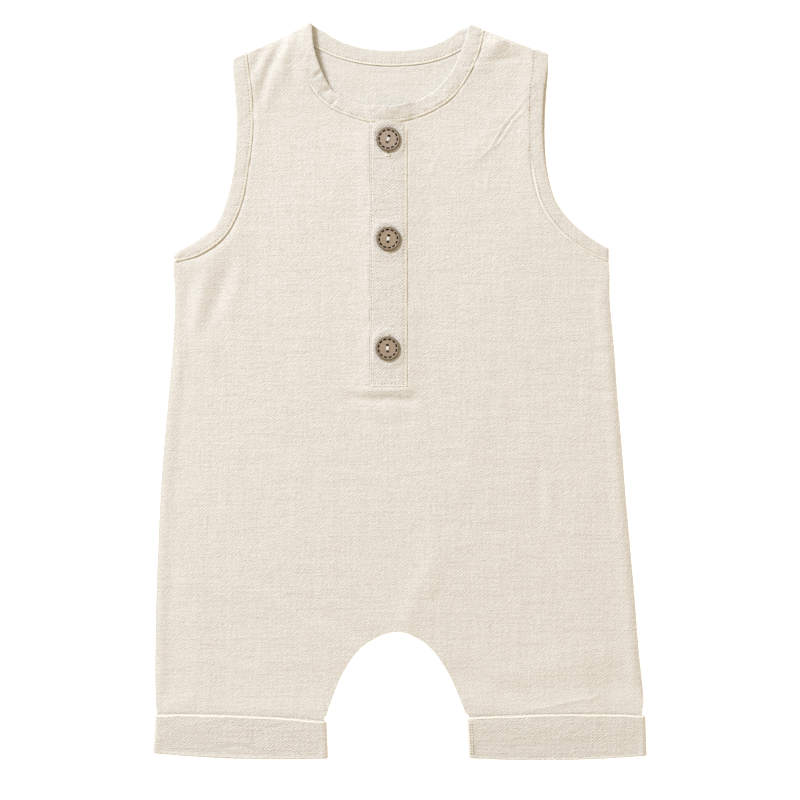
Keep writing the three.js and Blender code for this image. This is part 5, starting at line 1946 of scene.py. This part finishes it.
def button_mesh(name, x, y, turn, wood):
    """A turned wooden button: dished face, broken rim, two holes and twelve burnt dashes."""
    profile = [
        (0.0, 0.0), (5.5, 0.0), (6.4, 0.08), (7.0, 0.35), (7.35, 0.75), (7.5, 1.2), (7.48, 1.6),
        (7.36, 2.0), (7.1, 2.36), (6.85, 2.52), (6.6, 2.56), (6.42, 2.5), (6.25, 2.34), (6.1, 2.27),
        (4.5, 2.25), (2.5, 2.22), (0.0, 2.2),
    ]
    work = bmesh.new()
    points = [work.verts.new((r, 0, z)) for r, z in profile]
    for a, b in zip(points, points[1:]):
        work.edges.new((a, b))
    outline = work.verts[:] + work.edges[:]
    bmesh.ops.spin(work, geom=outline, axis=(0, 0, 1), cent=(0, 0, 0), steps=96, angle=2 * math.pi)
    bmesh.ops.remove_doubles(work, verts=work.verts, dist=1e-4)
    bmesh.ops.recalc_face_normals(work, faces=work.faces)
    mesh = bpy.data.meshes.new(name)
    work.to_mesh(mesh)
    work.free()
    piece = bpy.data.objects.new(name, mesh)
    bpy.context.scene.collection.objects.link(piece)
    cutters = bmesh.new()
    for at in BUTTON_HOLES:
        # Each hole, and its broken rim
        for top_radius, deep, level in ((HOLE_RADIUS, 8, 1), (1.25, 0.3, 2.15)):
            cone = {"cap_ends": True, "segments": 24, "radius1": HOLE_RADIUS, "radius2": top_radius}
            made = bmesh.ops.create_cone(cutters, depth=deep, **cone)["verts"]
            bmesh.ops.translate(cutters, verts=made, vec=(0, at, level))
    for k in range(DASHES):
        made = bmesh.ops.create_cube(cutters, size=1.0)["verts"]
        angle = 2 * math.pi * (k + 0.5) / DASHES
        for v in made:
            v.co = Vector((DASH_RING + v.co.x * 0.98, v.co.y * 2.05, 2.2 + v.co.z * 0.7))
        bmesh.ops.rotate(cutters, verts=made, cent=(0, 0, 0), matrix=Matrix.Rotation(angle, 3, "Z"))
    cutter_mesh = bpy.data.meshes.new("button_cutters")
    cutters.to_mesh(cutter_mesh)
    cutters.free()
    cutter = bpy.data.objects.new("button_cutters", cutter_mesh)
    bpy.context.scene.collection.objects.link(cutter)
    apply_cut(piece, cutter)
    mesh = piece.data
    mesh.materials.clear()
    for material in (wood, "burnt"):
        mesh.materials.append(materials(bpy.context)[material])
    for polygon in mesh.polygons:
        c = polygon.center
        in_dash = 1.8 < c.z < 2.24 and 5.0 < math.hypot(c.x, c.y) < 6.25
        # The dashes are really burnt; the holes' walls get the same near black as painted shade
        polygon.material_index = 1 if in_dash or in_shaded_hole(c) else 0
        polygon.use_smooth = True
    local = mesh.attributes.new("button_place", "FLOAT_VECTOR", "POINT")
    turned = math.radians(turn)
    level = float(front_level(x, y)) + 2 * CLOTH + 2 * GAP
    for v in mesh.vertices:
        px, py, pz = v.co
        local.data[v.index].vector = (px, py, pz)
        v.co = (
            (x + px * math.cos(turned) - py * math.sin(turned)) * MM,
            (y + px * math.sin(turned) + py * math.cos(turned)) * MM,
            (level + pz) * MM,
        )
    mesh.set_sharp_from_angle(angle=math.radians(35))
    return piece, level


def in_shaded_hole(c):
    return c.z < 2.1 and any(math.hypot(c.x, c.y - at) < 1.0 for at in BUTTON_HOLES)


class ROMPER_OT_buttons(bpy.types.Operator):
    """Three wooden buttons, sewn on with white thread"""

    bl_idname = "romper.buttons"
    bl_label = "Buttons"

    def execute(self, context):
        made = materials(context)
        for name, (x, y, turn, _, _) in BUTTONS.items():
            wood = "wood_pale" if name == "top" else "wood"
            piece, level = button_mesh(f"wooden_button_{name}", x, y, turn, wood)
            settle(piece, "button_wood", f"button_{name}")
            parts = []
            turned = math.radians(turn)
            way = np.array([-math.sin(turned), math.cos(turned), 0.0])
            side = np.array([math.cos(turned), math.sin(turned), 0.0])
            middle = np.array([x, y, level])
            for k, off in enumerate((-0.6, -0.2, 0.2, 0.6, 0.0)):
                line = []
                for t in np.linspace(-1, 1, 13):
                    rise = 2.42 + 0.22 * (1 - t**4) - 1.9 * max(0.0, abs(t) - 0.84) / 0.16
                    # The last strand lies on top of the others
                    rise += 0.2 if k == 4 else 0
                    sway = off + 0.05 * math.sin(3 * t + k)
                    line.append(middle + way * t * THREAD_REACH + side * sway + np.array([0, 0, rise]))
                parts.append(tube(np.array(line), 0.24))
            for sign in (-1, 1):
                foot = middle + way * sign * THREAD_REACH
                line = np.array([foot + np.array([0, 0, h]) for h in np.linspace(-0.9, 0.7, 5)])
                parts.append(tube(line, 0.3))
            points, faces = joined(parts)
            mesh = mesh_of(f"button_thread_{name}", points, faces)
            settle(new_object(f"button_thread_{name}", mesh, [made["white_thread"]], 80), "cloth_trim")
        return {"FINISHED"}


def tube(line, radius, sides=8):
    """A round thread along a line: points and faces."""
    run = np.gradient(line, axis=0)
    run /= np.linalg.norm(run, axis=1, keepdims=True)
    ref = np.array([0.31, 0.95, 0.02])
    points = []
    for p, d in zip(line, run):
        a = np.cross(d, ref)
        a /= np.linalg.norm(a)
        b = np.cross(d, a)
        turns = np.arange(sides) * 2 * math.pi / sides
        points.append([p + radius * (a * math.cos(t) + b * math.sin(t)) for t in turns])
    return loft(points, False)


# Warm light from the room fills the shadows, and a cooler lamp stands for the window
ROOM_LIGHT = (1.0, 0.835, 0.605, 1.0)
ROOM_STRENGTH = 0.66
WINDOW_LIGHT = (0.87, 1.02, 1.24)
WINDOW_WATTS = 108.5
LENS = (120.0, 36.0)  # focal length and sensor width
PHOTO_WIDTH = 496  # mm that the picture shows at the cloth's middle height


class ROMPER_OT_stage(bpy.types.Operator):
    """Pale floor, soft studio light and the camera straight above"""

    bl_idname = "romper.stage"
    bl_label = "Stage"

    def execute(self, context):
        scene = context.scene
        mesh = bpy.data.meshes.new("floor")
        half, low = 3.0, -0.02 * MM
        corners = [(-half, -half, low), (half, -half, low), (half, half, low), (-half, half, low)]
        mesh.from_pydata(corners, [], [(0, 1, 2, 3)])
        floor = bpy.data.objects.new("floor", mesh)
        scene.collection.objects.link(floor)
        # Matt white paper on a light table, so that it stays white beside the garment's edge
        paper = {"Base Color": linear("#F7F7F7"), "Roughness": 0.9}
        paper.update({"Emission Color": (1, 1, 1, 1), "Emission Strength": 0.7})
        mesh.materials.append(new_material("white_paper", paper)[0])
        world = bpy.data.worlds.new("studio")
        world.use_nodes = True
        background = world.node_tree.nodes["Background"]
        background.inputs["Color"].default_value = ROOM_LIGHT
        background.inputs["Strength"].default_value = ROOM_STRENGTH
        scene.world = world
        key = bpy.data.lights.new("window_light", "AREA")
        key.shape, key.size, key.energy, key.color = "DISK", 1.1, WINDOW_WATTS, WINDOW_LIGHT
        lamp = bpy.data.objects.new("window_light", key)
        towards = Vector((0.54, -0.54, -0.65)).normalized()
        lamp.location = -3.8 * towards
        lamp.rotation_euler = towards.to_track_quat("-Z", "Y").to_euler()
        scene.collection.objects.link(lamp)
        lens = bpy.data.cameras.new("camera")
        lens.lens, lens.sensor_width = LENS
        lens.clip_start, lens.clip_end = 0.05, 20.0
        camera = bpy.data.objects.new("camera", lens)
        camera.location = (0.31 * MM, -5.27 * MM, (PHOTO_WIDTH * LENS[0] / LENS[1] + 3) * MM)
        scene.collection.objects.link(camera)
        scene.camera = camera
        scene.view_settings.view_transform = "Standard"
        return {"FINISHED"}


class ROMPER_PT_panel(bpy.types.Panel):
    """Lists the romper's pieces and settings"""

    bl_idname = "ROMPER_PT_panel"
    bl_label = "Baby Romper"
    bl_space_type = "VIEW_3D"
    bl_region_type = "UI"
    bl_category = "Romper"

    def draw(self, context):
        for operator in OPERATORS:
            self.layout.operator(operator.bl_idname)
        for settings in (context.scene.romper_sizes, context.scene.romper_colours):
            for name in settings.__annotations__:
                self.layout.prop(settings, name)


OPERATORS = (
    ROMPER_OT_back,
    ROMPER_OT_front,
    ROMPER_OT_strips,
    ROMPER_OT_placket,
    ROMPER_OT_cuffs,
    ROMPER_OT_buttons,
    ROMPER_OT_stage,
)
CLASSES = (RomperSizes, RomperColours, *OPERATORS, ROMPER_PT_panel)


def register():
    for item in CLASSES:
        bpy.utils.register_class(item)
    bpy.types.Scene.romper_sizes = bpy.props.PointerProperty(type=RomperSizes)
    bpy.types.Scene.romper_colours = bpy.props.PointerProperty(type=RomperColours)


def unregister():
    del bpy.types.Scene.romper_colours
    del bpy.types.Scene.romper_sizes
    for item in reversed(CLASSES):
        bpy.utils.unregister_class(item)


def main():
    register()
    bpy.ops.romper.stage()
    bpy.ops.romper.back()
    bpy.ops.romper.front()
    bpy.ops.romper.strips()
    bpy.ops.romper.placket()
    bpy.ops.romper.cuffs()
    bpy.ops.romper.buttons()


if __name__ == "__main__":
    main()
